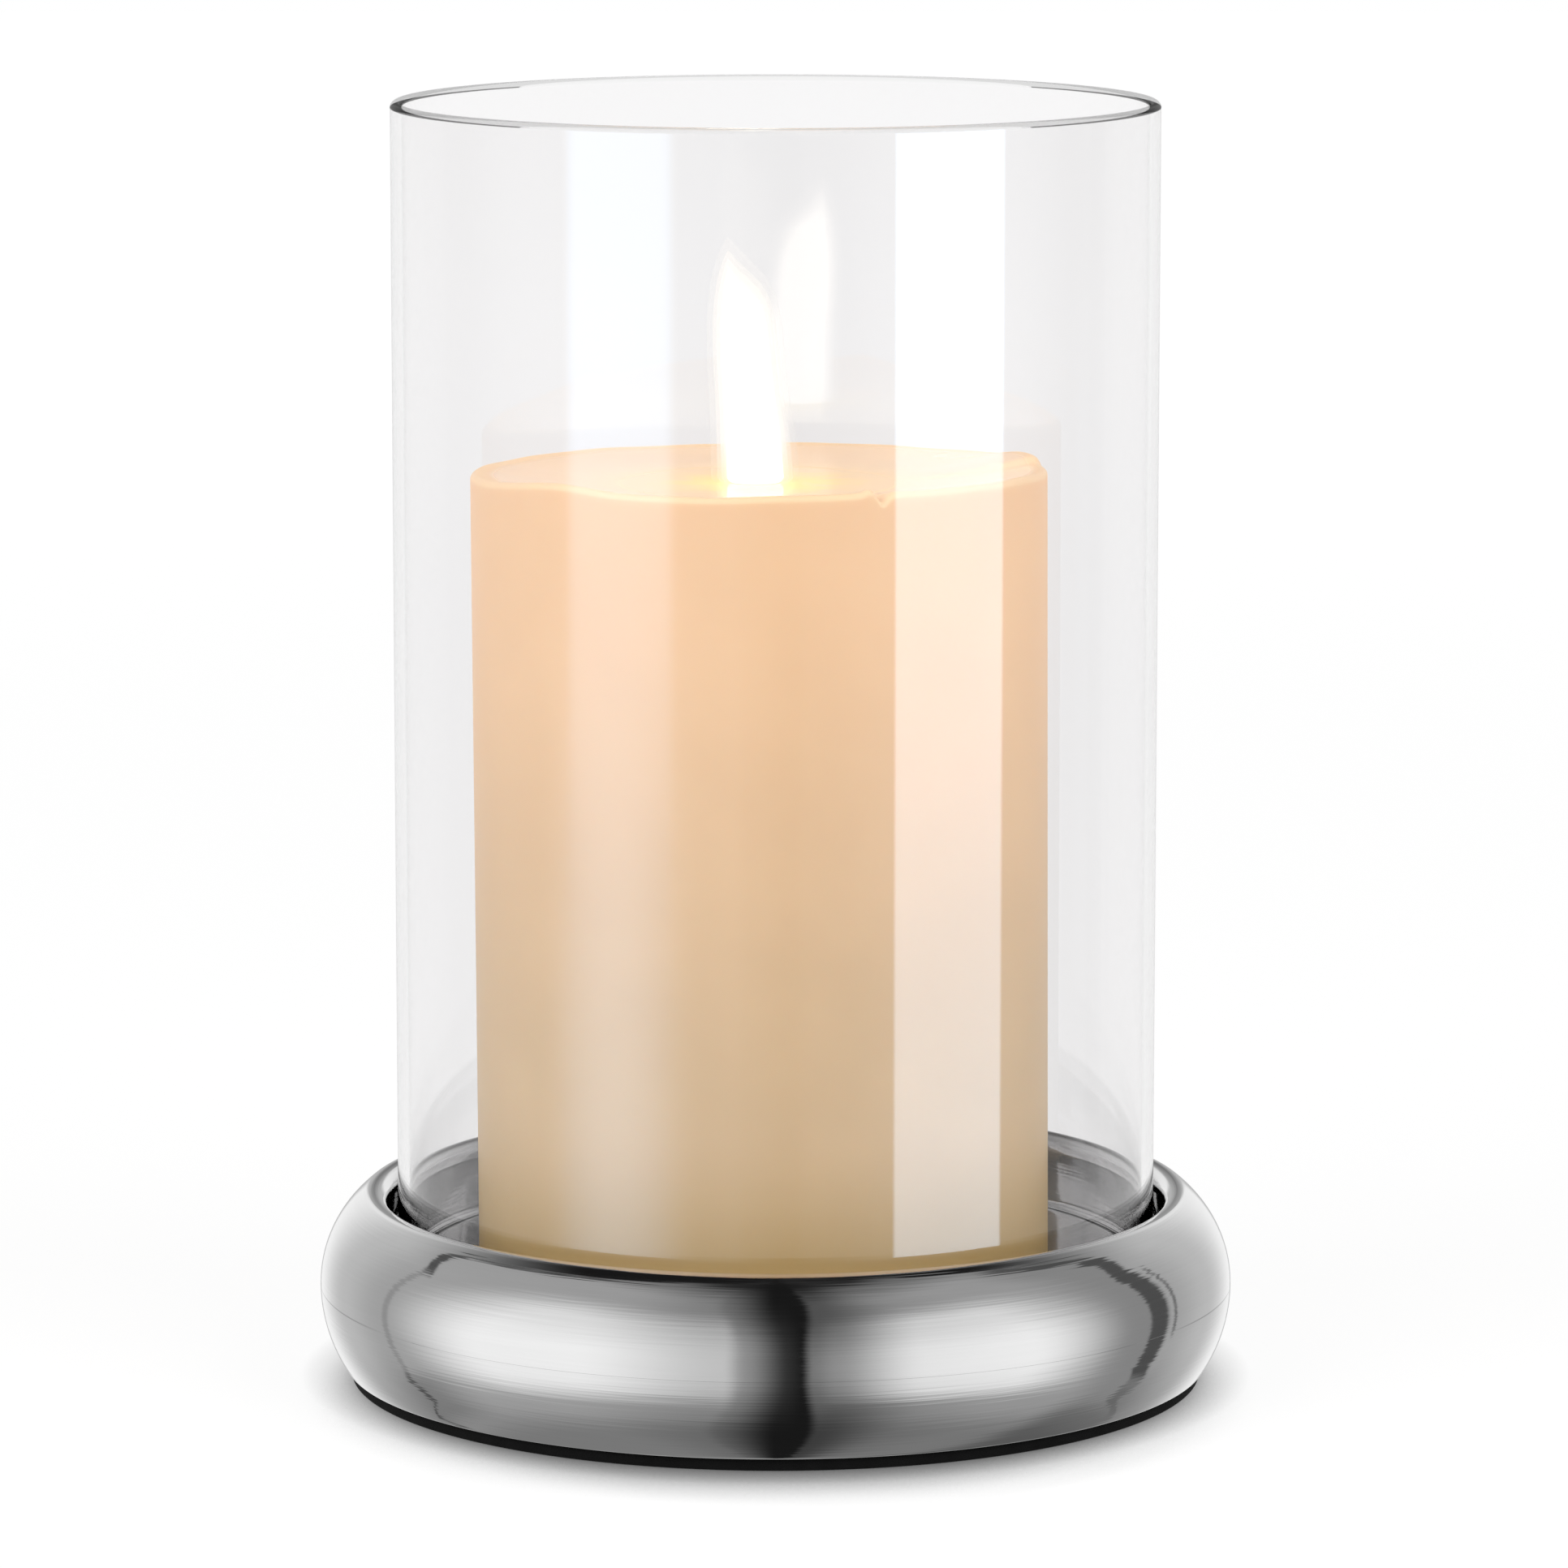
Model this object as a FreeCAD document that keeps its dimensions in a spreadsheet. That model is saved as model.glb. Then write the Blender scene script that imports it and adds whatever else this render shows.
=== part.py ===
import FreeCAD, Part
import math
import os

import Sketcher

# Hurricane candle lantern: a pressed steel base with a sunk dish, a glass cylinder that stands
# loose in the dish, and a pillar candle that stands inside the glass.
# Millimetres, +Z up. The origin is the middle of the pad's underside, where the lantern stands.

# Driving dimensions: name, size, and what it measures. All other sizes are worked out from these.
SIZES = (
    ("candle_diameter", 100.0, "pillar candle, across"),
    ("candle_height", 139.4, "dish floor to the candle's lip"),
    ("candle_offset", -2.3, "where the candle was set down, off centre along X"),
    ("candle_foot_chamfer", 0.8, "bevel round the candle's foot"),
    ("lip_round", 1.2, "rounding of the lip that the flame left standing"),
    ("burn_depth", 2.4, "lip down to the melted wax"),
    ("pool_diameter", 48.0, "melted wax, across"),
    ("pool_depth", 5.0, "melted wax, at the wick"),
    ("wick_diameter", 2.8, "plaited cotton wick, across"),
    ("wick_upright", 3.4, "melted wax to where the wick starts to curl"),
    ("wick_curl_radius", 7.0, "bend of the wick's burnt end"),
    ("wick_curl_angle", 45.0, "how far the burnt end leans over, in degrees"),
    ("tab_diameter", 20.0, "tin disc under the wick, across"),
    ("tab_sheet", 0.4, "tin sheet of the disc and its neck"),
    ("tab_neck_height", 6.0, "neck that grips the wick"),
    ("wax_clearance", 0.05, "room between the wax and what is set in it"),
    ("candle_air_gap", 14.3, "candle to glass, all round"),
    ("glass_wall", 2.0, "glass thickness"),
    ("glass_height", 203.2, "glass cylinder, foot to rim"),
    ("glass_foot_round", 0.4, "rounding of the glass's foot edges"),
    ("glass_play", 2.4, "glass to dish wall, all round"),
    ("glass_seat_margin", 0.3, "flat floor left outside the glass's foot"),
    ("rim_width", 11.3, "dish wall to the widest point of the belly"),
    ("base_height", 32.82, "table to the crest of the base"),
    ("belly_height", 16.4, "table to the seam at the widest point"),
    ("crest_bend_radius", 1.4, "inside bend of the rolled crest"),
    ("dish_depth", 12.52, "crest down to the dish floor"),
    ("sheet_thickness", 0.8, "steel sheet of both shells"),
    ("seam_bevel", 0.25, "edge break of each shell at the seam"),
    ("joggle_lip_height", 4.0, "lip of the lower shell inside the upper one"),
    ("joggle_clearance", 0.1, "glue line between lip and upper shell"),
    ("joggle_web", 1.2, "straight part of the step below the seam"),
    ("joggle_slope", 45.0, "slope of the step back to the wall, in degrees"),
    ("foot_inset", 5.1, "widest point to the foot corner's centre"),
    ("foot_bend_radius", 0.4, "inside bend between belly and flat bottom"),
    ("pad_thickness", 2.0, "foam pad"),
    ("pad_inset", 0.3, "flat bottom left outside the pad"),
)

doc = FreeCAD.newDocument("hurricane_lantern")
sheet = doc.addObject("Spreadsheet::Sheet", "Sizes")
for row, (alias, size, meaning) in enumerate(SIZES, start=1):
    sheet.set("A%d" % row, meaning)
    sheet.set("B%d" % row, str(size))
    sheet.setAlias("B%d" % row, alias)
doc.recompute()

# Sizes that follow from the driving ones, from the candle outwards. Each is an expression.
CANDLE_RADIUS = "(Sizes.candle_diameter / 2)"
GLASS_BORE_RADIUS = "(%s + Sizes.candle_air_gap)" % CANDLE_RADIUS
GLASS_RADIUS = "(%s + Sizes.glass_wall)" % GLASS_BORE_RADIUS
DISH_RADIUS = "(%s + Sizes.glass_play)" % GLASS_RADIUS
DISH_CORNER_RADIUS = "(Sizes.glass_play - Sizes.glass_seat_margin)"
BASE_RADIUS = "(%s + Sizes.rim_width)" % DISH_RADIUS
DISH_FLOOR = "(Sizes.base_height - Sizes.dish_depth)"
CREST_RADIUS = "(Sizes.crest_bend_radius + Sizes.sheet_thickness)"
CREST_CENTRE_HEIGHT = "(Sizes.base_height - %s)" % CREST_RADIUS
FOOT_CORNER_RADIUS = "(Sizes.foot_bend_radius + Sizes.sheet_thickness)"
FOOT_RADIUS = "(%s - Sizes.foot_inset)" % BASE_RADIUS
PAD_RADIUS = "(%s - Sizes.pad_inset)" % FOOT_RADIUS
# The upper belly is the arc that leaves the seam upright and runs smoothly into the crest.
CREST_RISE = "(%s - Sizes.belly_height)" % CREST_CENTRE_HEIGHT
CREST_SETBACK = "(Sizes.rim_width - 2 * %s)" % CREST_RADIUS
UPPER_BELLY_RADIUS = "(%s + (%s^2 + %s^2) / (2 * %s))" % (
    CREST_RADIUS, CREST_RISE, CREST_SETBACK, CREST_SETBACK)
LIP_OUTER_RADIUS = "(%s - Sizes.sheet_thickness - Sizes.joggle_clearance)" % UPPER_BELLY_RADIUS
LIP_INNER_RADIUS = "(%s - Sizes.sheet_thickness)" % LIP_OUTER_RADIUS
# Candle heights are counted from the candle's own foot.
WICK_RADIUS = "(Sizes.wick_diameter / 2)"
WICK_HOLE_RADIUS = "(%s + Sizes.wax_clearance)" % WICK_RADIUS
NECK_RADIUS = "(%s + Sizes.tab_sheet)" % WICK_HOLE_RADIUS
TAB_RADIUS = "(Sizes.tab_diameter / 2)"
POOL_RADIUS = "(Sizes.pool_diameter / 2)"
POOL_HEIGHT = "(Sizes.candle_height - Sizes.burn_depth)"
BASIN_RADIUS = "((%s^2 + Sizes.pool_depth^2) / (2 * Sizes.pool_depth))" % POOL_RADIUS
BASIN_CENTRE_HEIGHT = "(%s - Sizes.pool_depth + %s)" % (POOL_HEIGHT, BASIN_RADIUS)

# Rules number the points of a line or an arc from 1, and an outline's own two axes from -1 down.
START, END, CENTRE = range(1, 4)
LEVEL_AXIS, UPRIGHT_AXIS = range(-1, -3, -1)
ORIGIN = (LEVEL_AXIS, START)
NEAR = 1e-6


def value(expression):
    """The number that an expression on the sheet gives now."""
    return float(sheet.evalExpression(expression))


class Outline:
    """A closed outline in the XZ plane of a body: lines and arcs end to end, sized from the sheet."""

    def __init__(self, body, name, role="XZ_Plane"):
        plane = [item for item in body.Origin.OriginFeatures if item.Role == role][0]
        self.sketch = body.newObject("Sketcher::SketchObject", name)
        self.sketch.AttachmentSupport = (plane, [""])
        self.sketch.MapMode = "FlatFace"

    def line(self, start, end):
        segment = Part.LineSegment(FreeCAD.Vector(*start, 0), FreeCAD.Vector(*end, 0))
        return self.sketch.addGeometry(segment, False)

    def arc(self, centre, radius, start_angle, end_angle):
        """An arc drawn anticlockwise between two angles, in radians."""
        circle = Part.Circle(FreeCAD.Vector(*centre, 0), FreeCAD.Vector(0, 0, 1), radius)
        return self.sketch.addGeometry(Part.ArcOfCircle(circle, start_angle, end_angle), False)

    def rule(self, kind, *where):
        return self.sketch.addConstraint(Sketcher.Constraint(kind, *where))

    def chain(self, points):
        """Straight lines through the points, each joined to the next; upright or level ones stay so."""
        lines = []
        for start, end in zip(points, points[1:]):
            lines.append(self.line(start, end))
            if abs(start[0] - end[0]) < NEAR:
                self.rule("Vertical", lines[-1])
            if abs(start[1] - end[1]) < NEAR:
                self.rule("Horizontal", lines[-1])
        for first, second in zip(lines, lines[1:]):
            self.rule("Coincident", first, END, second, START)
        return lines

    def size(self, kind, where, expression):
        """A dimension that takes its size from the sheet."""
        number = self.sketch.addConstraint(Sketcher.Constraint(kind, *where, value(expression)))
        self.sketch.setExpression("Constraints[%d]" % number, expression)

    def across(self, geometry, end, expression):
        self.size("DistanceX", (*ORIGIN, geometry, end), expression)

    def above(self, geometry, end, expression):
        self.size("DistanceY", (*ORIGIN, geometry, end), expression)


def new_body(label, expressions=()):
    """An empty body; expressions place it when it isn't built in the lantern's own frame."""
    body = doc.addObject("PartDesign::Body", label)
    body.Label = label
    for path, expression in expressions:
        body.setExpression(path, expression)
    return body


def revolve(body, outline, name):
    """Turn an outline round the upright axis and add it to the body."""
    feature = body.newObject("PartDesign::Revolution", name)
    feature.Profile = outline.sketch
    feature.ReferenceAxis = (outline.sketch, ["V_Axis"])
    feature.Angle = 360
    doc.recompute()
    return feature


def level_face(feature, height):
    """The flat, level face of a feature at a height."""
    for number, face in enumerate(feature.Shape.Faces, start=1):
        flat = isinstance(face.Surface, Part.Plane) and abs(face.normalAt(0, 0).z) > 1 - NEAR
        if flat and abs(face.CenterOfMass.z - height) < NEAR:
            return "Face%d" % number
    raise RuntimeError("no level face at %.3f on %s" % (height, feature.Label))


def round_edge(feature, radius, height):
    """The round edge of a feature with a radius, about the upright axis, at a height."""
    for number, edge in enumerate(feature.Shape.Edges, start=1):
        if isinstance(edge.Curve, Part.Circle) and abs(edge.Curve.Radius - radius) < NEAR:
            if abs(edge.Curve.Center.z - height) < NEAR:
                return "Edge%d" % number
    raise RuntimeError("no round edge at %.3f on %s" % (height, feature.Label))


def break_seam_edge(body, feature, name):
    """Bevel the outer edge of a shell where the two shells meet."""
    bevel = body.newObject("PartDesign::Chamfer", name)
    bevel.Base = (feature, [round_edge(feature, value(BASE_RADIUS), value("Sizes.belly_height"))])
    bevel.setExpression("Size", "Sizes.seam_bevel")
    doc.recompute()


def base_upper_shell():
    """Upper pressing: the belly above the seam, the rolled crest, and the dish with its flat floor.

    The sheet's outside is drawn first. Its inside runs back on the same centres, and the inside bend
    of the crest sets the sheet's thickness all along it.
    """
    body = new_body("base_upper_shell")
    outline = Outline(body, "upper_shell_outline")
    sheet_wall, bend = value("Sizes.sheet_thickness"), value("Sizes.crest_bend_radius")
    base, dish, corner = value(BASE_RADIUS), value(DISH_RADIUS), value(DISH_CORNER_RADIUS)
    floor, seam, top = value(DISH_FLOOR), value("Sizes.belly_height"), value(CREST_CENTRE_HEIGHT)
    crest, belly = value(CREST_RADIUS), value(UPPER_BELLY_RADIUS)
    handover = math.atan2(value(CREST_RISE), belly - crest - value(CREST_SETBACK))

    under, middle, level = outline.chain([
        (dish - corner, floor - sheet_wall), (0, floor - sheet_wall), (0, floor), (dish - corner, floor)])
    cove = outline.arc((dish - corner, floor + corner), corner, -math.pi / 2, 0)
    wall = outline.line((dish, floor + corner), (dish, top))
    roll = outline.arc((dish + crest, top), crest, handover, math.pi)
    flank = outline.arc((base - belly, seam), belly, 0, handover)
    edge = outline.line((base, seam), (base - sheet_wall, seam))
    flank_inside = outline.arc((base - belly, seam), belly - sheet_wall, 0, handover)
    roll_inside = outline.arc((dish + crest, top), bend, handover, math.pi)
    wall_inside = outline.line((dish + sheet_wall, top), (dish + sheet_wall, floor + corner))
    cove_inside = outline.arc((dish - corner, floor + corner), corner + sheet_wall, -math.pi / 2, 0)

    outline.rule("PointOnObject", middle, START, UPRIGHT_AXIS)
    outline.rule("Tangent", level, END, cove, START)
    outline.rule("Tangent", cove, END, wall, START)
    outline.rule("Vertical", wall)
    outline.rule("Tangent", wall, END, roll, END)
    outline.rule("Tangent", roll, START, flank, END)
    outline.rule("Coincident", flank, START, edge, START)
    outline.rule("Horizontal", edge)
    outline.rule("PointOnObject", flank, CENTRE, edge)
    outline.rule("Coincident", edge, END, flank_inside, START)
    outline.rule("Tangent", flank_inside, END, roll_inside, START)
    outline.rule("Tangent", roll_inside, END, wall_inside, START)
    outline.rule("Vertical", wall_inside)
    outline.rule("Tangent", wall_inside, END, cove_inside, END)
    outline.rule("Tangent", cove_inside, START, under, START)
    for outer, inner in ((flank, flank_inside), (roll, roll_inside), (cove, cove_inside)):
        outline.rule("Coincident", outer, CENTRE, inner, CENTRE)
    outline.across(edge, START, BASE_RADIUS)
    outline.above(edge, START, "Sizes.belly_height")
    outline.above(level, START, DISH_FLOOR)
    outline.across(wall, START, DISH_RADIUS)
    outline.above(roll, CENTRE, CREST_CENTRE_HEIGHT)
    outline.size("Radius", (cove,), DISH_CORNER_RADIUS)
    outline.size("Radius", (roll,), CREST_RADIUS)
    outline.size("Radius", (roll_inside,), "Sizes.crest_bend_radius")

    shell = revolve(body, outline, "upper_shell_sheet")
    break_seam_edge(body, shell, "upper_shell_bevel")
    return body


def base_lower_shell():
    """Lower pressing: the belly below the seam, the flat bottom, and a lip stepped in to nest above.

    As in the upper shell, the sheet's inside runs on the same centres as its outside, and the inside
    bend at the foot sets its thickness.
    """
    body = new_body("base_lower_shell")
    outline = Outline(body, "lower_shell_outline")
    sheet_wall, bend = value("Sizes.sheet_thickness"), value("Sizes.foot_bend_radius")
    base, foot, seam = value(BASE_RADIUS), value(FOOT_RADIUS), value("Sizes.belly_height")
    bottom, corner = value("Sizes.pad_thickness"), value(FOOT_CORNER_RADIUS)
    drop, inset = seam - bottom - corner, base - foot
    belly = (inset ** 2 + drop ** 2 - corner ** 2) / (2 * (inset - corner))
    handover = -math.atan2(drop, belly - inset)

    underside, middle, floor = outline.chain([
        (foot, bottom), (0, bottom), (0, bottom + sheet_wall), (foot, bottom + sheet_wall)])
    turn_inside = outline.arc((foot, bottom + corner), bend, -math.pi / 2, handover)
    flank_inside = outline.arc((base - belly, seam), belly - sheet_wall, handover, 0)
    edge = outline.line((base - sheet_wall, seam), (base, seam))
    flank = outline.arc((base - belly, seam), belly, handover, 0)
    turn = outline.arc((foot, bottom + corner), corner, -math.pi / 2, handover)

    outline.rule("PointOnObject", middle, START, UPRIGHT_AXIS)
    outline.rule("Tangent", floor, END, turn_inside, START)
    outline.rule("Tangent", turn_inside, END, flank_inside, START)
    outline.rule("Coincident", flank_inside, END, edge, START)
    outline.rule("Horizontal", edge)
    outline.rule("Coincident", edge, END, flank, END)
    outline.rule("PointOnObject", flank, CENTRE, edge)
    outline.rule("Tangent", flank, START, turn, END)
    outline.rule("Tangent", turn, START, underside, START)
    for outer, inner in ((flank, flank_inside), (turn, turn_inside)):
        outline.rule("Coincident", outer, CENTRE, inner, CENTRE)
    outline.across(edge, END, BASE_RADIUS)
    outline.above(edge, END, "Sizes.belly_height")
    outline.above(underside, START, "Sizes.pad_thickness")
    outline.across(underside, START, FOOT_RADIUS)
    outline.size("Radius", (turn,), FOOT_CORNER_RADIUS)
    outline.size("Radius", (turn_inside,), "Sizes.foot_bend_radius")

    revolve(body, outline, "lower_shell_sheet")
    lip = joggle_lip(body)
    break_seam_edge(body, lip, "lower_shell_bevel")
    return body


def joggle_lip(body):
    """The lip: it follows the upper shell's inside above the seam and steps out to the wall below."""
    outline = Outline(body, "joggle_lip_outline")
    base, seam = value(BASE_RADIUS), value("Sizes.belly_height")
    middle = base - value(UPPER_BELLY_RADIUS)
    outer, inner = value(LIP_OUTER_RADIUS), value(LIP_INNER_RADIUS)
    rise, web = value("Sizes.joggle_lip_height"), value("Sizes.joggle_web")
    anchor = base - value("Sizes.sheet_thickness") / 2
    slope = (anchor - middle - inner) * math.tan(math.radians(value("Sizes.joggle_slope")))
    outer_angle, inner_angle = math.asin(rise / outer), math.asin(rise / inner)

    step = outline.chain([
        (middle + inner, seam), (middle + inner, seam - web), (anchor, seam - web - slope),
        (anchor, seam), (middle + outer, seam)])
    outside = outline.arc((middle, seam), outer, 0, outer_angle)
    inside = outline.arc((middle, seam), inner, 0, inner_angle)
    edge = outline.line((middle + outer * math.cos(outer_angle), seam + rise),
                        (middle + inner * math.cos(inner_angle), seam + rise))

    outline.rule("Coincident", step[3], END, outside, START)
    outline.rule("Coincident", step[0], START, inside, START)
    outline.rule("Coincident", outside, END, edge, START)
    outline.rule("Coincident", edge, END, inside, END)
    outline.rule("Coincident", outside, CENTRE, inside, CENTRE)
    outline.rule("Horizontal", edge)
    outline.rule("PointOnObject", outside, CENTRE, step[3])
    outline.rule("PointOnObject", inside, START, step[3])
    outline.above(outside, CENTRE, "Sizes.belly_height")
    outline.across(outside, CENTRE, "%s - %s" % (BASE_RADIUS, UPPER_BELLY_RADIUS))
    outline.size("Radius", (outside,), LIP_OUTER_RADIUS)
    outline.size("Radius", (inside,), LIP_INNER_RADIUS)
    outline.above(edge, START, "Sizes.belly_height + Sizes.joggle_lip_height")
    outline.size("DistanceY", (step[0], END, step[0], START), "Sizes.joggle_web")
    outline.across(step[2], START, "%s - Sizes.sheet_thickness / 2" % BASE_RADIUS)
    outline.size("Angle", (step[1],), "-Sizes.joggle_slope")
    return revolve(body, outline, "joggle_lip")


def base_pad():
    """Foam disc stuck under the flat bottom, just inside its edge."""
    body = new_body("base_pad")
    outline = Outline(body, "pad_outline", "XY_Plane")
    rim = Part.Circle(FreeCAD.Vector(0, 0, 0), FreeCAD.Vector(0, 0, 1), value(PAD_RADIUS))
    circle = outline.sketch.addGeometry(rim, False)
    outline.rule("Coincident", circle, CENTRE, *ORIGIN)
    outline.size("Radius", (circle,), PAD_RADIUS)
    pad = body.newObject("PartDesign::Pad", "pad_disc")
    pad.Profile = outline.sketch
    pad.setExpression("Length", "Sizes.pad_thickness")
    return body


def glass_cylinder():
    """Open tube with a full round, fire-polished rim and slightly rounded foot edges."""
    body = new_body("glass_cylinder", [("Placement.Base.z", DISH_FLOOR)])
    outline = Outline(body, "glass_outline")
    bore, outside = value(GLASS_BORE_RADIUS), value(GLASS_RADIUS)
    wall = outside - bore
    shoulder = value("Sizes.glass_height") - wall / 2
    inner, foot, outer = outline.chain([(bore, shoulder), (bore, 0), (outside, 0), (outside, shoulder)])
    rim = outline.arc((bore + wall / 2, shoulder), wall / 2, 0, math.pi)
    outline.rule("Tangent", outer, END, rim, START)
    outline.rule("Tangent", rim, END, inner, START)
    outline.across(foot, START, GLASS_BORE_RADIUS)
    outline.above(foot, START, "0")
    outline.across(foot, END, GLASS_RADIUS)
    outline.above(rim, CENTRE, "Sizes.glass_height - Sizes.glass_wall / 2")
    tube = revolve(body, outline, "glass_tube")
    rounding = body.newObject("PartDesign::Fillet", "glass_foot")
    rounding.Base = (tube, [level_face(tube, 0)])
    rounding.setExpression("Radius", "Sizes.glass_foot_round")
    return body


def candle_body(label):
    """An empty body on the candle's axis, with its zero at the candle's foot on the dish floor."""
    return new_body(label, [("Placement.Base.x", "Sizes.candle_offset"),
                            ("Placement.Base.z", DISH_FLOOR)])


def candle_wax():
    """Pillar with a shallow burnt bowl, the basin of the pool, the wick's hole and the tab's recess."""
    body = candle_body("candle_wax")
    outline = Outline(body, "wax_outline")
    room = value("Sizes.wax_clearance")
    radius, lip, lip_round = value(CANDLE_RADIUS), value("Sizes.candle_height"), value("Sizes.lip_round")
    bevel, hole = value("Sizes.candle_foot_chamfer"), value(WICK_HOLE_RADIUS)
    tab, neck = value(TAB_RADIUS) + room, value(NECK_RADIUS) + room
    tab_top, neck_top = value("Sizes.tab_sheet") + room, value("Sizes.tab_neck_height") + room
    pool, pool_top = value(POOL_RADIUS), value(POOL_HEIGHT)
    basin, basin_centre = value(BASIN_RADIUS), value(BASIN_CENTRE_HEIGHT)
    run, rise = radius - lip_round - pool, lip - pool_top
    bowl = (run ** 2 + rise ** 2) / (2 * rise) - lip_round
    tilt = math.asin(run / (bowl + lip_round))
    hole_angle, pool_angle = -math.acos(hole / basin), -math.acos(pool / basin)

    lines = outline.chain([
        (hole, basin_centre + basin * math.sin(hole_angle)), (hole, neck_top), (neck, neck_top),
        (neck, tab_top), (tab, tab_top), (tab, 0), (radius - bevel, 0), (radius, bevel),
        (radius, lip - lip_round)])
    edge = outline.arc((radius - lip_round, lip - lip_round), lip_round, 0, math.pi / 2 + tilt)
    slope = outline.arc((pool, pool_top + bowl), bowl, -math.pi / 2, tilt - math.pi / 2)
    basin_arc = outline.arc((0, basin_centre), basin, hole_angle, pool_angle)

    outline.rule("Tangent", lines[-1], END, edge, START)
    outline.rule("Tangent", edge, END, slope, END)
    outline.rule("Coincident", slope, START, basin_arc, END)
    outline.rule("Vertical", slope, START, slope, CENTRE)
    outline.rule("Coincident", basin_arc, START, lines[0], START)
    outline.rule("PointOnObject", basin_arc, CENTRE, UPRIGHT_AXIS)
    outline.across(lines[0], START, WICK_HOLE_RADIUS)
    outline.above(lines[1], START, "Sizes.tab_neck_height + Sizes.wax_clearance")
    outline.across(lines[3], START, "%s + Sizes.wax_clearance" % NECK_RADIUS)
    outline.above(lines[3], END, "Sizes.tab_sheet + Sizes.wax_clearance")
    outline.across(lines[5], START, "%s + Sizes.wax_clearance" % TAB_RADIUS)
    outline.above(lines[5], START, "0")
    outline.across(lines[-1], START, CANDLE_RADIUS)
    outline.above(lines[-1], START, "Sizes.candle_foot_chamfer")
    outline.across(lines[5], END, "%s - Sizes.candle_foot_chamfer" % CANDLE_RADIUS)
    outline.above(edge, CENTRE, "Sizes.candle_height - Sizes.lip_round")
    outline.size("Radius", (edge,), "Sizes.lip_round")
    outline.across(slope, START, POOL_RADIUS)
    outline.above(slope, START, POOL_HEIGHT)
    outline.size("Radius", (basin_arc,), BASIN_RADIUS)
    revolve(body, outline, "wax_pillar")
    return body


def melted_wax():
    """Lens of liquid wax that lies in the basin round the wick."""
    body = candle_body("melted_wax")
    outline = Outline(body, "pool_outline")
    hole, top, centre = value(WICK_HOLE_RADIUS), value(POOL_HEIGHT), value(BASIN_CENTRE_HEIGHT)
    under = value(BASIN_RADIUS) - value("Sizes.wax_clearance")
    brim = math.sqrt(under ** 2 - (centre - top) ** 2)
    hole_angle, brim_angle = -math.acos(hole / under), -math.acos(brim / under)
    surface, bore = outline.chain([(brim, top), (hole, top), (hole, centre + under * math.sin(hole_angle))])
    bed = outline.arc((0, centre), under, hole_angle, brim_angle)
    outline.rule("Coincident", bore, END, bed, START)
    outline.rule("Coincident", bed, END, surface, START)
    outline.rule("PointOnObject", bed, CENTRE, UPRIGHT_AXIS)
    outline.across(bore, START, WICK_HOLE_RADIUS)
    outline.above(bore, START, POOL_HEIGHT)
    outline.above(bed, CENTRE, BASIN_CENTRE_HEIGHT)
    outline.size("Radius", (bed,), "%s - Sizes.wax_clearance" % BASIN_RADIUS)
    revolve(body, outline, "pool_lens")
    return body


def candle_wick():
    """Round wick: upright through the wax and the pool, then its burnt end curls over to one side."""
    body = candle_body("candle_wick")
    radius, bend = value(WICK_RADIUS), value("Sizes.wick_curl_radius")
    knee = value(POOL_HEIGHT) + value("Sizes.wick_upright")
    turn = math.radians(value("Sizes.wick_curl_angle"))
    section = Outline(body, "wick_section", "XY_Plane")
    ring = Part.Circle(FreeCAD.Vector(0, 0, 0), FreeCAD.Vector(0, 0, 1), radius)
    circle = section.sketch.addGeometry(ring, False)
    section.rule("Coincident", circle, CENTRE, *ORIGIN)
    section.size("Radius", (circle,), WICK_RADIUS)

    path = Outline(body, "wick_path")
    stem = path.line((0, 0), (0, knee))
    curl = path.arc((-bend, knee), bend, 0, turn)
    path.rule("Coincident", stem, START, *ORIGIN)
    path.rule("Vertical", stem)
    path.rule("Tangent", stem, END, curl, START)
    path.above(stem, END, "%s + Sizes.wick_upright" % POOL_HEIGHT)
    path.size("Radius", (curl,), "Sizes.wick_curl_radius")
    path.size("Angle", (curl,), "Sizes.wick_curl_angle")

    wick = body.newObject("PartDesign::AdditivePipe", "wick_cord")
    wick.Profile = section.sketch
    wick.Spine = path.sketch
    return body


def wick_tab():
    """Pressed tin disc, flush with the candle's foot, with a neck drawn up round the wick."""
    body = candle_body("wick_tab")
    outline = Outline(body, "tab_outline")
    hole, neck, disc = value(WICK_HOLE_RADIUS), value(NECK_RADIUS), value(TAB_RADIUS)
    tin, top = value("Sizes.tab_sheet"), value("Sizes.tab_neck_height")
    lines = outline.chain([
        (hole, 0), (disc, 0), (disc, tin), (neck, tin), (neck, top), (hole, top), (hole, 0)])
    outline.rule("Coincident", lines[-1], END, lines[0], START)
    outline.across(lines[0], START, WICK_HOLE_RADIUS)
    outline.above(lines[0], START, "0")
    outline.across(lines[1], START, TAB_RADIUS)
    outline.above(lines[1], END, "Sizes.tab_sheet")
    outline.across(lines[3], START, NECK_RADIUS)
    outline.above(lines[3], END, "Sizes.tab_neck_height")
    revolve(body, outline, "tab_disc")
    return body


def check_document():
    """Stop if anything failed to build, or an outline is left loose."""
    for item in doc.Objects:
        if "Invalid" in item.State or "Error" in item.State:
            raise RuntimeError("%s failed: %s" % (item.Label, item.State))
        if item.TypeId == "Sketcher::SketchObject" and not item.FullyConstrained:
            raise RuntimeError("%s isn't fully sized" % item.Label)


PIECES = [
    base_upper_shell(), base_lower_shell(), base_pad(), glass_cylinder(),
    candle_wax(), melted_wax(), candle_wick(), wick_tab(),
]
doc.recompute()
check_document()
for piece in PIECES:
    if piece.Shape.isNull() or not piece.Shape.isValid() or len(piece.Shape.Solids) != 1:
        raise RuntimeError("%s isn't one sound solid" % piece.Label)

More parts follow.
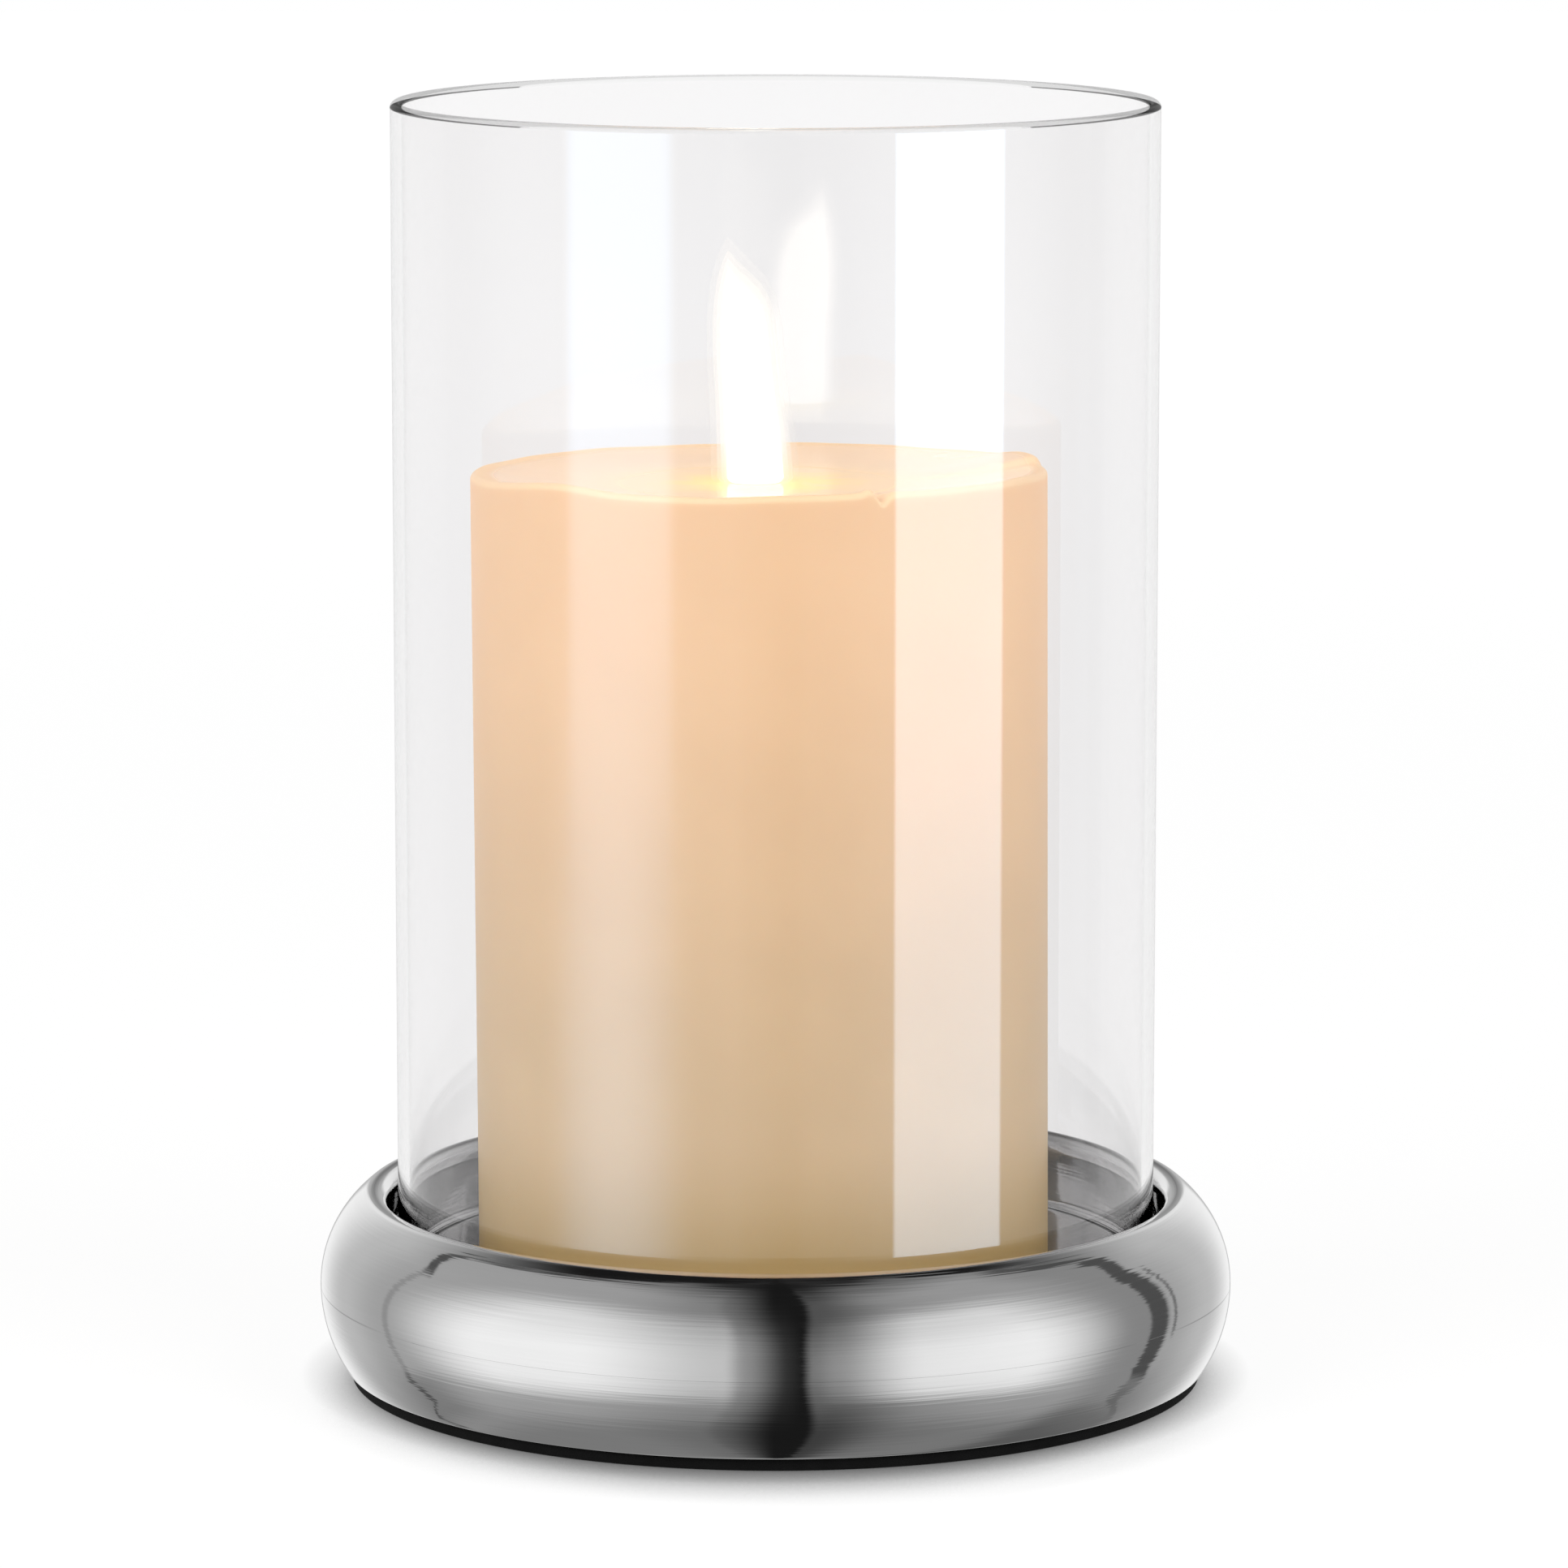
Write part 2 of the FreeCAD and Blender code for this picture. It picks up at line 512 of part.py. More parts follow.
os.makedirs("parts", exist_ok=True)
for piece in PIECES:
    piece.Shape.exportStep("parts/%s.step" % piece.Label)
    box = piece.Shape.optimalBoundingBox()
    print("%-18s volume %9.1f mm3  z %7.2f to %7.2f  across %7.2f"
          % (piece.Label, piece.Shape.Volume, box.ZMin, box.ZMax, box.XLength))
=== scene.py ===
# %% [markdown]
# # A hurricane candle lantern
#
# The lantern is three loose things: a polished steel base with a sunk dish, a glass cylinder that stands
# in the dish, and a lit pillar candle inside the glass. The imported solids give the size and place of each
# piece. This lesson dresses them: every piece but the wick's tin tab is a surface worked out with numpy, and
# every finish is a small tree of shader nodes. All numbers about shapes are millimetres until they go into a
# mesh; the camera and the lamps are placed in metres.

# %% Load the imported lantern
import math

import bpy
import numpy as np
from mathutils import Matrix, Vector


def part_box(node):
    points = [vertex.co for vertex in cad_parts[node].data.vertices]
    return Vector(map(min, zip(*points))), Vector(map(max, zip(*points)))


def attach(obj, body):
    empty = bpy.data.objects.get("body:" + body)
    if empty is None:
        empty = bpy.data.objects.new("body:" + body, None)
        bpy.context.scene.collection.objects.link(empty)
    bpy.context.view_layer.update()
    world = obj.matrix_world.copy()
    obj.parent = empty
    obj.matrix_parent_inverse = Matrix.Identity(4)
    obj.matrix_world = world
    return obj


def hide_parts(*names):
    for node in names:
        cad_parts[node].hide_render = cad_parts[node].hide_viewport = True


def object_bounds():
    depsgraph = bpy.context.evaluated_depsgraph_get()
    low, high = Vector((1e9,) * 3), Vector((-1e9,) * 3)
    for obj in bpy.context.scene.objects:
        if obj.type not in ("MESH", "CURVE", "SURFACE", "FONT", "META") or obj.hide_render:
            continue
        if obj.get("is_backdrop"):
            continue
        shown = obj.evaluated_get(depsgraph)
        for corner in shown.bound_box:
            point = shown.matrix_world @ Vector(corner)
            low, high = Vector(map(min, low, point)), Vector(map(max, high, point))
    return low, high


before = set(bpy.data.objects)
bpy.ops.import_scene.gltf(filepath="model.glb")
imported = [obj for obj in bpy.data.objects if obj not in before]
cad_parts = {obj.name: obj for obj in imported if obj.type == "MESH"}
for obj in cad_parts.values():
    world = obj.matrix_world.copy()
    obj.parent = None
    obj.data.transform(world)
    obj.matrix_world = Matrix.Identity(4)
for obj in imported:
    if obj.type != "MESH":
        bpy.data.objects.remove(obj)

MM = 0.001
TO_MM = 1.0 / MM
scene = bpy.context.scene
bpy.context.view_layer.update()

# %% [markdown]
# ## The camera
#
# The photograph was taken with a long lens from somewhat higher than the lantern's top. The camera was found
# by fitting the outlines of the base, the pad and the glass: it stands 1.36 m away and looks down by nine
# degrees. A small sideways shift puts the lantern's axis a little left of the frame's middle, as it is
# in the photograph.

# %% Camera at the photograph's place
CAMERA_DISTANCE = 1.3642
CAMERA_ELEVATION = math.radians(9.043)
LOOK_AT_HEIGHT = 0.104357

lens = bpy.data.cameras.new("photo_camera")
lens.sensor_width = 36.0
lens.lens = 179.62
lens.shift_x = 0.005366
camera = bpy.data.objects.new("photo_camera", lens)
camera.location = (0.0, -CAMERA_DISTANCE * math.cos(CAMERA_ELEVATION),
                   LOOK_AT_HEIGHT + CAMERA_DISTANCE * math.sin(CAMERA_ELEVATION))
camera.rotation_euler = (math.pi / 2 - CAMERA_ELEVATION, 0.0, 0.0)
scene.collection.objects.link(camera)
scene.camera = camera
scene.view_settings.view_transform = "Standard"
print("camera at", [round(c, 4) for c in camera.location])

# %% [markdown]
# ## Surfaces from profiles
#
# Nearly everything here was made by turning: steel spun or pressed over a round former, glass drawn as a
# tube, wax cast in a round mould. A turned shape is a profile, a list of (radius, height) points, carried
# round the upright axis. A Screw modifier could do that too, but a grid of points in numpy can be bent
# afterwards, which the burnt lip of the candle needs.

# %% Helpers: profile, turn, skin
ROUND = 288


def line(start, end, steps=2):
    """Points on the straight run from start to end: start + t (end - start), t from 0 to 1."""
    t = np.linspace(0.0, 1.0, steps)[:, None]
    return np.asarray(start, float) + t * (np.asarray(end, float) - np.asarray(start, float))


def arc(centre, radius, first, last, steps):
    """Points on a circle: centre + radius (cos a, sin a), a from first to last in degrees."""
    a = np.radians(np.linspace(first, last, steps))
    return np.column_stack((centre[0] + radius * np.cos(a), centre[1] + radius * np.sin(a)))


def profile(*runs):
    """Runs joined end to end; a point that repeats the one before it is dropped."""
    points = np.vstack(runs)
    moved = np.linalg.norm(np.diff(points, axis=0), axis=1) > 1e-6
    return points[np.concatenate(([True], moved))]


def turn(points, around=ROUND):
    """(r, z) at angle a goes to (r cos a, r sin a, z): one row per profile point, one column per angle."""
    a = np.arange(around) * (2 * math.pi / around)
    r, z = points[:, :1], points[:, 1:]
    return np.stack((r * np.cos(a), r * np.sin(a), z + 0 * a), axis=2)


def skin(name, grid, loop=False, sharp=32.0, marks=()):
    """Mesh on a grid of points in mm, closed round the columns, and along the rows if loop is set.

    Quads join neighbouring rows and columns. A first or last row that is a single point becomes one
    vertex with a fan of triangles. Rows run so that (column direction) x (row direction) points out.
    Marks are named values, one per grid point, that a finish can read as attributes.
    """
    rows, columns = grid.shape[:2]
    number = np.arange(rows * columns).reshape(rows, columns)
    pole = np.ptp(grid, axis=1).max(axis=1) < 1e-6
    number[pole] = number[pole][:, :1]
    used, number = np.unique(number, return_inverse=True)
    number = number.reshape(rows, columns)
    points = grid.reshape(-1, 3)[used] * MM
    below = number if loop else number[:-1]
    above = np.roll(number, -1, axis=0) if loop else number[1:]
    quads = np.stack((below, np.roll(below, -1, 1), np.roll(above, -1, 1), above), axis=2)
    flat_low = np.zeros(len(below), bool) if loop else pole[:-1]
    flat_high = np.zeros(len(below), bool) if loop else pole[1:]
    faces = quads[~(flat_low | flat_high)].reshape(-1, 4).tolist()
    faces += quads[flat_low][:, :, [0, 2, 3]].reshape(-1, 3).tolist()
    faces += quads[flat_high][:, :, [0, 1, 2]].reshape(-1, 3).tolist()
    mesh = bpy.data.meshes.new(name)
    mesh.from_pydata(points.tolist(), [], faces)
    mesh.polygons.foreach_set("use_smooth", np.ones(len(mesh.polygons), bool))
    mesh.set_sharp_from_angle(angle=math.radians(sharp))
    for mark, values in dict(marks).items():
        values = np.broadcast_to(values, (rows, columns)).reshape(-1)[used]
        mesh.attributes.new(mark, "FLOAT", "POINT").data.foreach_set("value", values.astype(np.float32))
    piece = bpy.data.objects.new(name, mesh)
    scene.collection.objects.link(piece)
    print("%s: %d points, %d faces" % (name, len(mesh.vertices), len(mesh.polygons)))
    return piece


# %% [markdown]
# ## Sums with shader nodes
#
# A finish is a sum: a colour plus a little noise, a roughness that changes with height. Shader nodes can do
# that, but wiring them by hand hides the sum. So one small class wraps a socket. Python's signs on it add
# Math nodes, and one method makes any other node.


# %% Helper: a socket that can be calculated with
class Wire:
    """An output socket of a node tree. Signs such as + and * on it add Math nodes."""

    def __init__(self, tree, socket=None):
        self.tree = tree
        self.socket = socket

    def node(self, kind, settings=(), sockets=(), out=0):
        """Make a node: its type, its settings, then values or wires for its sockets, by name or number."""
        made = self.tree.nodes.new(kind)
        for name, setting in dict(settings).items():
            setattr(made, name, setting)
        for name, value in dict(sockets).items():
            if isinstance(value, Wire):
                self.tree.links.new(value.socket, made.inputs[name])
            else:
                made.inputs[name].default_value = value
        return Wire(self.tree, made.outputs[out]) if made.outputs else None

    def __getitem__(self, name):
        """Another output of the same node."""
        return Wire(self.tree, self.socket.node.outputs[name])

    def math(self, operation, other=None):
        """A Math node on this value, with a second value where the operation needs one."""
        sockets = {0: self} if other is None else {0: self, 1: other}
        return self.node("ShaderNodeMath", {"operation": operation}, sockets)

    def __add__(self, other):
        return self.math("ADD", other)

    def __mul__(self, other):
        return self.math("MULTIPLY", other)

    def __sub__(self, other):
        return self.math("SUBTRACT", other)

    def __rsub__(self, other):
        return self.node("ShaderNodeMath", {"operation": "SUBTRACT"}, {0: other, 1: self})

    def __truediv__(self, other):
        return self.math("DIVIDE", other)

    def __neg__(self):
        return self * -1.0

    __radd__ = __add__
    __rmul__ = __mul__

    def fade(self, low, high):
        """0 below low, 1 above high, and an easy curve between them."""
        return self.node("ShaderNodeMapRange", {"interpolation_type": "SMOOTHSTEP"},
                         {"Value": self, "From Min": low, "From Max": high})

    def band(self, low, high, soft):
        """1 between low and high, 0 outside, with edges that are soft by that much each way."""
        return self.fade(low - soft, low + soft) * (1 - self.fade(high - soft, high + soft))

    def mix(self, first, second):
        """A colour that goes from first to second as this value goes from 0 to 1."""
        return self.node("ShaderNodeMix", {"data_type": "RGBA"}, {0: self, 6: first, 7: second}, out=2)


def finish(name):
    """A new, empty material, and a wire to start its nodes from."""
    material = bpy.data.materials.new(name)
    material.use_nodes = True
    material.node_tree.nodes.clear()
    return material, Wire(material.node_tree)


def show(wire, surface):
    """Send a shader to the material's or the world's output."""
    kind = "ShaderNodeOutputWorld" if wire.tree == getattr(scene.world, "node_tree", None) \
        else "ShaderNodeOutputMaterial"
    wire.node(kind, {}, {"Surface": surface})


print("helpers ready")

# %% [markdown]
# ## The studio
#
# Polished steel has almost no colour of its own: it shows the room. The photograph's room can be read back
# from the base. Two broad, soft light walls stand left and right, with a dark slot between them where the
# camera looks in, dark edges at their far ends, a dim ceiling and a bright backdrop. Panels and cards could
# stand round the lantern, but a world shader can be drawn by angles, one edge at a time.
#
# It begins with the direction of a ray, in degrees. The angle called side is 0 in front and 180 behind, and
# counts up to the right; left counts the other way. The angle called rise counts up from level, and down is
# its opposite.

# %% World: directions
world = bpy.data.worlds.new("studio")
scene.world = world
world.use_nodes = True
world.node_tree.nodes.clear()
room = Wire(world.node_tree)
way = room.node("ShaderNodeTexCoord", out="Generated")
way = room.node("ShaderNodeSeparateXYZ", {}, {0: way}, out="X")
side = way.math("ARCTAN2", -way["Y"]) * math.degrees(1.0)
rise = way["Z"].math("ARCSINE") * math.degrees(1.0)
left, down = -side, -rise
away = side.math("ABSOLUTE")
print("world: directions ready")

# %% [markdown]
# Each light wall is a broad soft light inside a dimmer frame. The dark slot between the two walls opens wider
# high up and low down. The lights die away towards the ceiling, the floor and the walls' far ends.

# %% World: light walls and the slot
pinch = rise.fade(12.0, 70.0) + down.fade(10.0, 60.0)


def from_slot(angle, amount):
    """Angle from the slot in front; the slot is wider high up and low down, by this amount."""
    return angle * (1 - amount * pinch) - 6.0 * amount * pinch


left_wide = from_slot(left, 0.5)
left_near, right_near = from_slot(left, 0.25), from_slot(side, 0.25)
left_light = 0.24 * left_near.fade(8.5, 13.0) + 0.45 * left_near.fade(12.0, 52.0)
left_light = left_light * (1 - (left + 0.012 * rise * rise).fade(78.0, 116.0))
right_light = 0.10 * right_near.fade(9.0, 15.0) + 0.63 * right_near.fade(13.0, 38.0)
right_light = right_light * (1 - (side + 0.006 * rise * rise).fade(66.0, 100.0))
light_top = 1 - 0.30 * rise.fade(6.0, 34.0) - 0.70 * rise.fade(33.0, 54.0)
light_foot = 1 - 0.10 * down.fade(8.0, 22.0) - 0.90 * down.fade(20.0, 36.0)
high_up = rise.fade(12.0, 60.0)
left_shade = (0.45 * high_up + 0.35 * down.fade(8.0, 40.0)) * (1 - left.fade(10.0, 64.0))
left_frame = 0.32 * left_wide.fade(-3.0, 9.0) + 0.09 * left_wide.fade(7.0, 10.5)
left_frame = (left_frame + 0.04 * (1 - pinch) * left.fade(-8.0, 0.0)) * (1 - left_shade)
left_frame = left_frame * (1 - 0.4 * down.band(27.0, 44.0, 4.0) * left.fade(86.0, 114.0))
right_shade = (0.60 * rise.fade(0.0, 48.0) + 0.65 * down.fade(0.0, 48.0)) * (1 - side.fade(14.0, 44.0))
right_frame = (0.24 * (1 - right_shade) + 0.15 * side.fade(15.0, 70.0)) * right_near.fade(6.3, 9.3)
right_frame = right_frame * (1 - 0.25 * side.fade(84.0, 104.0))
right_frame = right_frame * (1 - 0.3 * down.fade(34.0, 44.0) * side.fade(80.0, 100.0))
frame_ends = (1 - 0.55 * rise.fade(60.0, 74.0)) * (1 - 0.90 * rise.fade(72.0, 80.0))
frame_ends = frame_ends * (1 - 0.42 * down.fade(36.0, 56.0))
walls = (left_light + right_light) * light_top * light_foot + (left_frame + right_frame) * frame_ends
print("world: light walls ready")

# %% [markdown]
# Behind the lantern hangs the backdrop, which is brightest a little to each side of straight behind. Thin
# dark gaps part it from the walls' far ends, and they show as dark lines near the belly's outline. The end of
# each wall isn't upright: it steps and slants with the height.

# %% World: backdrop and the walls' far ends
DIMMEST = 0.012
far_corner = (away - 140.0).math("MAXIMUM", 0.0)
backdrop = 0.45 + 0.16 * away.fade(116.0, 140.0) + 0.37 * away.fade(138.0, 164.0)
backdrop = backdrop - 0.45 * away.fade(167.0, 172.0)
backdrop = backdrop * (1 - (rise + 0.0215 * far_corner * far_corner).fade(26.0, 64.0))
backdrop = backdrop * (1 - 0.55 * down.fade(16.0, 44.0))

on_left = left.fade(-1.0, 1.0)
steep = (rise - 43.0).math("MAXIMUM", 0.0)
wall_end = 116.0 + (7.0 + 4.0 * on_left) * rise.fade(27.0, 39.0) - (0.85 + 0.75 * on_left) * steep
wall_end = wall_end + 3.0 * down.fade(24.0, 30.0) + 14.0 * down.fade(37.0, 41.0)
past = away - wall_end
right_gap = 0.72 * rise.band(-29.0, 60.0, 3.0) + 0.40 * rise.band(-40.0, -31.0, 3.0)
right_gap = past.band(-8.5, -1.0, 0.8) * right_gap
right_gap = right_gap + 0.60 * past.band(2.2, 3.6, 0.5) * rise.band(-14.0, 24.0, 2.0)
left_gap = past.band(-3.0, -0.5, 0.8) * (0.25 + 0.40 * down.fade(26.0, 30.0))
upper = rise.fade(26.0, 30.0)
left_gap = left_gap * (1 - upper) + 0.80 * past.band(-5.5, -0.5, 0.8) * upper
gaps = right_gap * (1 - on_left) + left_gap * on_left
studio = (walls + past.fade(-1.0, 1.0) * (backdrop - walls)) * (1 - gaps) + DIMMEST
print("world: backdrop ready")

# %% [markdown]
# The glass shows more than the steel does. Two tall strips of light, seen only by reflections that are as
# sharp as a mirror, give it its two long reflections; the steel is never quite that sharp, so it doesn't show
# them. What the camera sees directly or through the glass is plain white, and sharp rays that end low down
# behind the lantern meet nearly white, which keeps the glass light near its outline.

# %% World: what the camera and the glass see
STRIP_POWER = 6.0
WHITE = (1.0, 1.0, 1.0, 1.0)
COOL = (0.80, 0.96, 1.15, 1.0)
path = room.node("ShaderNodeLightPath", out="Is Camera Ray")
through = path["Is Transmission Ray"]
mirrored = path["Is Singular Ray"] * (1 - through)
low = down.fade(6.0, 11.0)
left_strip = left.band(31.1, 63.6, 3.0) * (1 - low) + left.band(34.0, 64.0, 13.0) * low
strips = (side.band(35.7, 71.2, 0.8) + 0.5 * left_strip) * rise.band(-15.0, 0.5, 1.0) * mirrored
direct = (path["Glossy Depth"] + path["Diffuse Depth"]).math("LESS_THAN", 0.5)
behind = 0.75 * (side.fade(95.0, 125.0) + left.fade(95.0, 125.0)) * (1 - rise.fade(0.0, 4.0))
seen = path.math("MAXIMUM", through * direct).math("MAXIMUM", path["Is Singular Ray"] * behind)
show(room, room.node("ShaderNodeBackground", {}, {
    "Color": strips.fade(0.0, 0.3).mix(WHITE, COOL),
    "Strength": studio + STRIP_POWER * strips + seen * (1 - studio)}))
print("studio world with", len(world.node_tree.nodes), "nodes")

# %% [markdown]
# Two wide, soft lamps stand left and right in front and fill in the wax and the table. Lamps of that kind are
# flagged off in photographs of polished metal, so these don't show in the steel or in the glass.

# %% Fill lamps
LAMP_POWER = 27.0
LAMP_SIZE = 1.4
LAMP_OUT, LAMP_FRONT, LAMP_UP = 1.4, 1.0, 1.1
LAMP_TILT, LAMP_TURN = math.radians(60.0), math.radians(54.5)
for hand, sign in (("left", -1.0), ("right", 1.0)):
    lamp_data = bpy.data.lights.new("fill_" + hand, "AREA")
    lamp_data.size = LAMP_SIZE
    lamp_data.energy = LAMP_POWER
    lamp = bpy.data.objects.new("fill_" + hand, lamp_data)
    lamp.location = (LAMP_OUT * sign, -LAMP_FRONT, LAMP_UP)
    lamp.rotation_euler = (LAMP_TILT, 0.0, LAMP_TURN * sign)
    lamp.visible_camera = False
    lamp.visible_glossy = False
    lamp.visible_transmission = False
    scene.collection.objects.link(lamp)
print("two fill lamps of", LAMP_POWER, "W")

# %% [markdown]
# ## The floor
#
# The lantern stands on a plain white table. The floor is a dull sheet with a white of its own, which the
# camera sees directly and through the glass, so that the sheet melts into the white background. That white
# fades where the lantern closes off the view towards the back, which lays a soft shadow in front of the base,
# and a second, short fade darkens the line of contact. A lamp could cast the shadow, but not on a sheet that
# glows. Mirror-like reflections pass the floor by, because the photograph's base shows the light walls down
# to its foot.

# %% Floor
FLOOR_HALF = 4000.0
FLOOR_DROP = 0.05
SHADOW_REACH = 30.0
CONTACT_REACH = 8.0
BLACK = (0.0, 0.0, 0.0, 1.0)
corners = np.array([[-1, -1], [1, -1], [1, 1], [-1, 1]]) * FLOOR_HALF
sheet = bpy.data.meshes.new("floor")
sheet.from_pydata((np.column_stack((corners, np.full(4, -FLOOR_DROP))) * MM).tolist(), [], [(0, 1, 2, 3)])
floor = bpy.data.objects.new("floor", sheet)
scene.collection.objects.link(floor)
floor.visible_glossy = False

white_table, wire = finish("white_table")
path = wire.node("ShaderNodeLightPath", out="Is Camera Ray")
seen = path + path["Is Transmission Ray"]
place = wire.node("ShaderNodeTexCoord", out="Object")
from_lantern = wire.node("ShaderNodeVectorMath", {"operation": "LENGTH"}, {0: place}, out="Value")
backward = wire.node("ShaderNodeCombineXYZ", {}, {"Y": 0.866, "Z": 0.5})
open_back = wire.node("ShaderNodeAmbientOcclusion", {"samples": 16},
                      {"Distance": SHADOW_REACH * MM, "Normal": backward}, out="AO")
open_near = wire.node("ShaderNodeAmbientOcclusion", {"samples": 8},
                      {"Distance": CONTACT_REACH * MM}, out="AO")
lit = (0.09 + 0.91 * open_back.fade(0.20, 0.71)) * (0.5 + 0.5 * open_near)
table_glow = (seen * lit * (0.90 + 0.06 * from_lantern.fade(0.3, 2.0))).mix(BLACK, WHITE)
show(wire, wire.node("ShaderNodeBsdfPrincipled", {}, {
    "Base Color": (0.12, 0.12, 0.12, 1.0), "Roughness": 1.0, "Specular IOR Level": 0.0,
    "Emission Color": table_glow, "Emission Strength": 1.0}))
sheet.materials.append(white_table)
floor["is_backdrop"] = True
print("floor at", -FLOOR_DROP, "mm")

# %% [markdown]
# ## Sizes taken from the solids
#
# The solids say where each piece is. Their boxes give the heights and the candle's place. The radii, and
# small details such as a bend or a bevel, are numbers here.

# %% Main sizes in mm
def box_mm(node):
    """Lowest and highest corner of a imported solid, in mm."""
    low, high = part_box(node)
    return np.array(low) / MM, np.array(high) / MM


upper_low, upper_high = box_mm("base_upper_shell")
glass_low, glass_high = box_mm("glass_cylinder")
wax_low, wax_high = box_mm("candle_wax")
BASE_RADIUS = 80.0
SEAM = float(upper_low[2])
CREST = float(upper_high[2])
PAD_TOP = float(box_mm("base_pad")[1][2])
PAD_RADIUS = 74.6
GLASS_RADIUS = 66.3
DISH_FLOOR = float(glass_low[2])
GLASS_RIM = float(glass_high[2])
LIP = float(wax_high[2])
CANDLE_RADIUS = 50.0
CANDLE_X = float(wax_low[0] + wax_high[0]) / 2
POOL_TOP = float(box_mm("melted_wax")[1][2])
print("seam %.2f crest %.2f dish floor %.2f rim %.2f lip %.2f candle x %.2f"
      % (SEAM, CREST, DISH_FLOOR, GLASS_RIM, LIP, CANDLE_X))

# %% [markdown]
# ## Polished steel
#
# The base was spun against a polishing mop, which leaves fine lines round and round. Along a line the metal
# is a mirror; across the lines it smears what it shows. Anisotropic gloss does that: its stretch is turned a
# quarter, so that it runs across the lines. Noise that changes quickly with radius and height, and very
# slowly round the axis, gives the lines that can be seen one by one.

# %% Finish: polished steel
SEAM_LINE, SEAM_SOFT = 0.12, 0.08
polished_steel, wire = finish("polished_steel")
place = wire.node("ShaderNodeTexCoord", out="Object")
place = wire.node("ShaderNodeSeparateXYZ", {}, {0: place}, out="X")
out_from_axis = (place * place + place["Y"] * place["Y"]).math("SQRT")
round_x = place / out_from_axis
round_y = place["Y"] / out_from_axis


def spun_lines(pitch, drift, detail):
    """Noise with this many mm between lines; drift says how much a line changes on its way round."""
    where = wire.node("ShaderNodeCombineXYZ", {}, {
        "X": out_from_axis * (1.0 / (pitch * MM)), "Y": place["Z"] * (1.0 / (pitch * MM)),
        "Z": round_x * drift})
    return wire.node("ShaderNodeTexNoise", {"noise_dimensions": "4D"},
                     {"Vector": where, "W": round_y * drift, "Scale": 1.0, "Detail": detail}, out=0)


fine = spun_lines(0.5, 3.0, 1.0)
broad = spun_lines(1.8, 2.0, 1.0)
steel_tone_and_seam_shade = (0.5 * fine + 0.5 * broad).fade(0.3, 0.7)
steel_tone_and_seam_shade = steel_tone_and_seam_shade.mix((0.725, 0.725, 0.725, 1.0), (0.745, 0.745, 0.745, 1.0))
# The seam line is drawn dark only on the left and right flanks, where its groove is seen edge-on: painted
# shade. In front and behind it stays as bright as the rest of the steel.
on_seam = (place["Z"] * TO_MM).band(SEAM - SEAM_LINE, SEAM + SEAM_LINE, SEAM_SOFT)
steel_tone_and_seam_shade = (on_seam * round_x.math("ABSOLUTE").fade(0.82, 0.93)).mix(steel_tone_and_seam_shade, (0.45, 0.45, 0.45, 1.0))
ridges = 0.8 * fine + 0.35 * broad
bump = wire.node("ShaderNodeBump", {}, {"Strength": 0.15, "Distance": 0.0002, "Height": ridges})
show(wire, wire.node("ShaderNodeBsdfPrincipled", {}, {
    "Base Color": steel_tone_and_seam_shade, "Metallic": 1.0, "Roughness": 0.04 + 0.04 * fine.fade(0.3, 0.75),
    "Anisotropic": 0.5, "Anisotropic Rotation": 0.25, "Normal": bump}))
print("polished steel:", len(polished_steel.node_tree.nodes), "nodes")

# %% [markdown]
# ## The upper shell of the base
#
# One pressing makes the upper half of the belly, the rolled crest, the dish wall and the dish floor. Its
# sheet is 0.8 mm thick, so the profile runs along the inside first and comes back along the outside. The
# belly is an arc that leaves the seam upright and runs smoothly into the small arc of the crest. The crest
# rolls over into the dish with a rounder arc.

# %% Upper shell
SHEET = 0.8
COVE = 1.2
CREST_RADIUS = 70.9
CREST_ROLL = 2.2
INNER_ROLL = 3.2
BEVEL = 0.03
crest_middle = (CREST_RADIUS, CREST - CREST_ROLL)
roll_middle = (crest_middle[0], CREST - INNER_ROLL)
DISH_RADIUS = roll_middle[0] - INNER_ROLL
crest_rise = crest_middle[1] - SEAM
crest_setback = BASE_RADIUS - CREST_ROLL - crest_middle[0]
belly = CREST_ROLL + (crest_rise ** 2 + crest_setback ** 2) / (2 * crest_setback)
belly_middle = (BASE_RADIUS - belly, SEAM)
handover = math.degrees(math.atan2(crest_rise, belly - CREST_ROLL - crest_setback))
bevel_turn = math.degrees(math.asin(BEVEL / belly))
cove_middle = (DISH_RADIUS - COVE, DISH_FLOOR + COVE)
upper_profile = profile(
    line((0, DISH_FLOOR - SHEET), (cove_middle[0], DISH_FLOOR - SHEET), 5),
    arc(cove_middle, COVE + SHEET, -90, 0, 8),
    arc(roll_middle, INNER_ROLL - SHEET, 180, 90, 10),
    arc(crest_middle, CREST_ROLL - SHEET, 90, handover, 6),
    arc(belly_middle, belly - SHEET, handover, 0, 16),
    line((BASE_RADIUS - SHEET, SEAM), (BASE_RADIUS - BEVEL, SEAM)),
    arc(belly_middle, belly, bevel_turn, handover, 56),
    arc(crest_middle, CREST_ROLL, handover, 90, 14),
    arc(roll_middle, INNER_ROLL, 90, 180, 24),
    line((DISH_RADIUS, roll_middle[1]), (DISH_RADIUS, cove_middle[1]), 6),
    arc(cove_middle, COVE, 0, -90, 12),
    line((cove_middle[0], DISH_FLOOR), (0, DISH_FLOOR), 9))
upper_shell = skin("base_upper_shell_skin", turn(upper_profile))
upper_shell.data.materials.append(polished_steel)
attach(upper_shell, "base")
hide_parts("base_upper_shell")
print("belly arc %.2f mm, handed over to the crest at %.1f degrees" % (belly, handover))
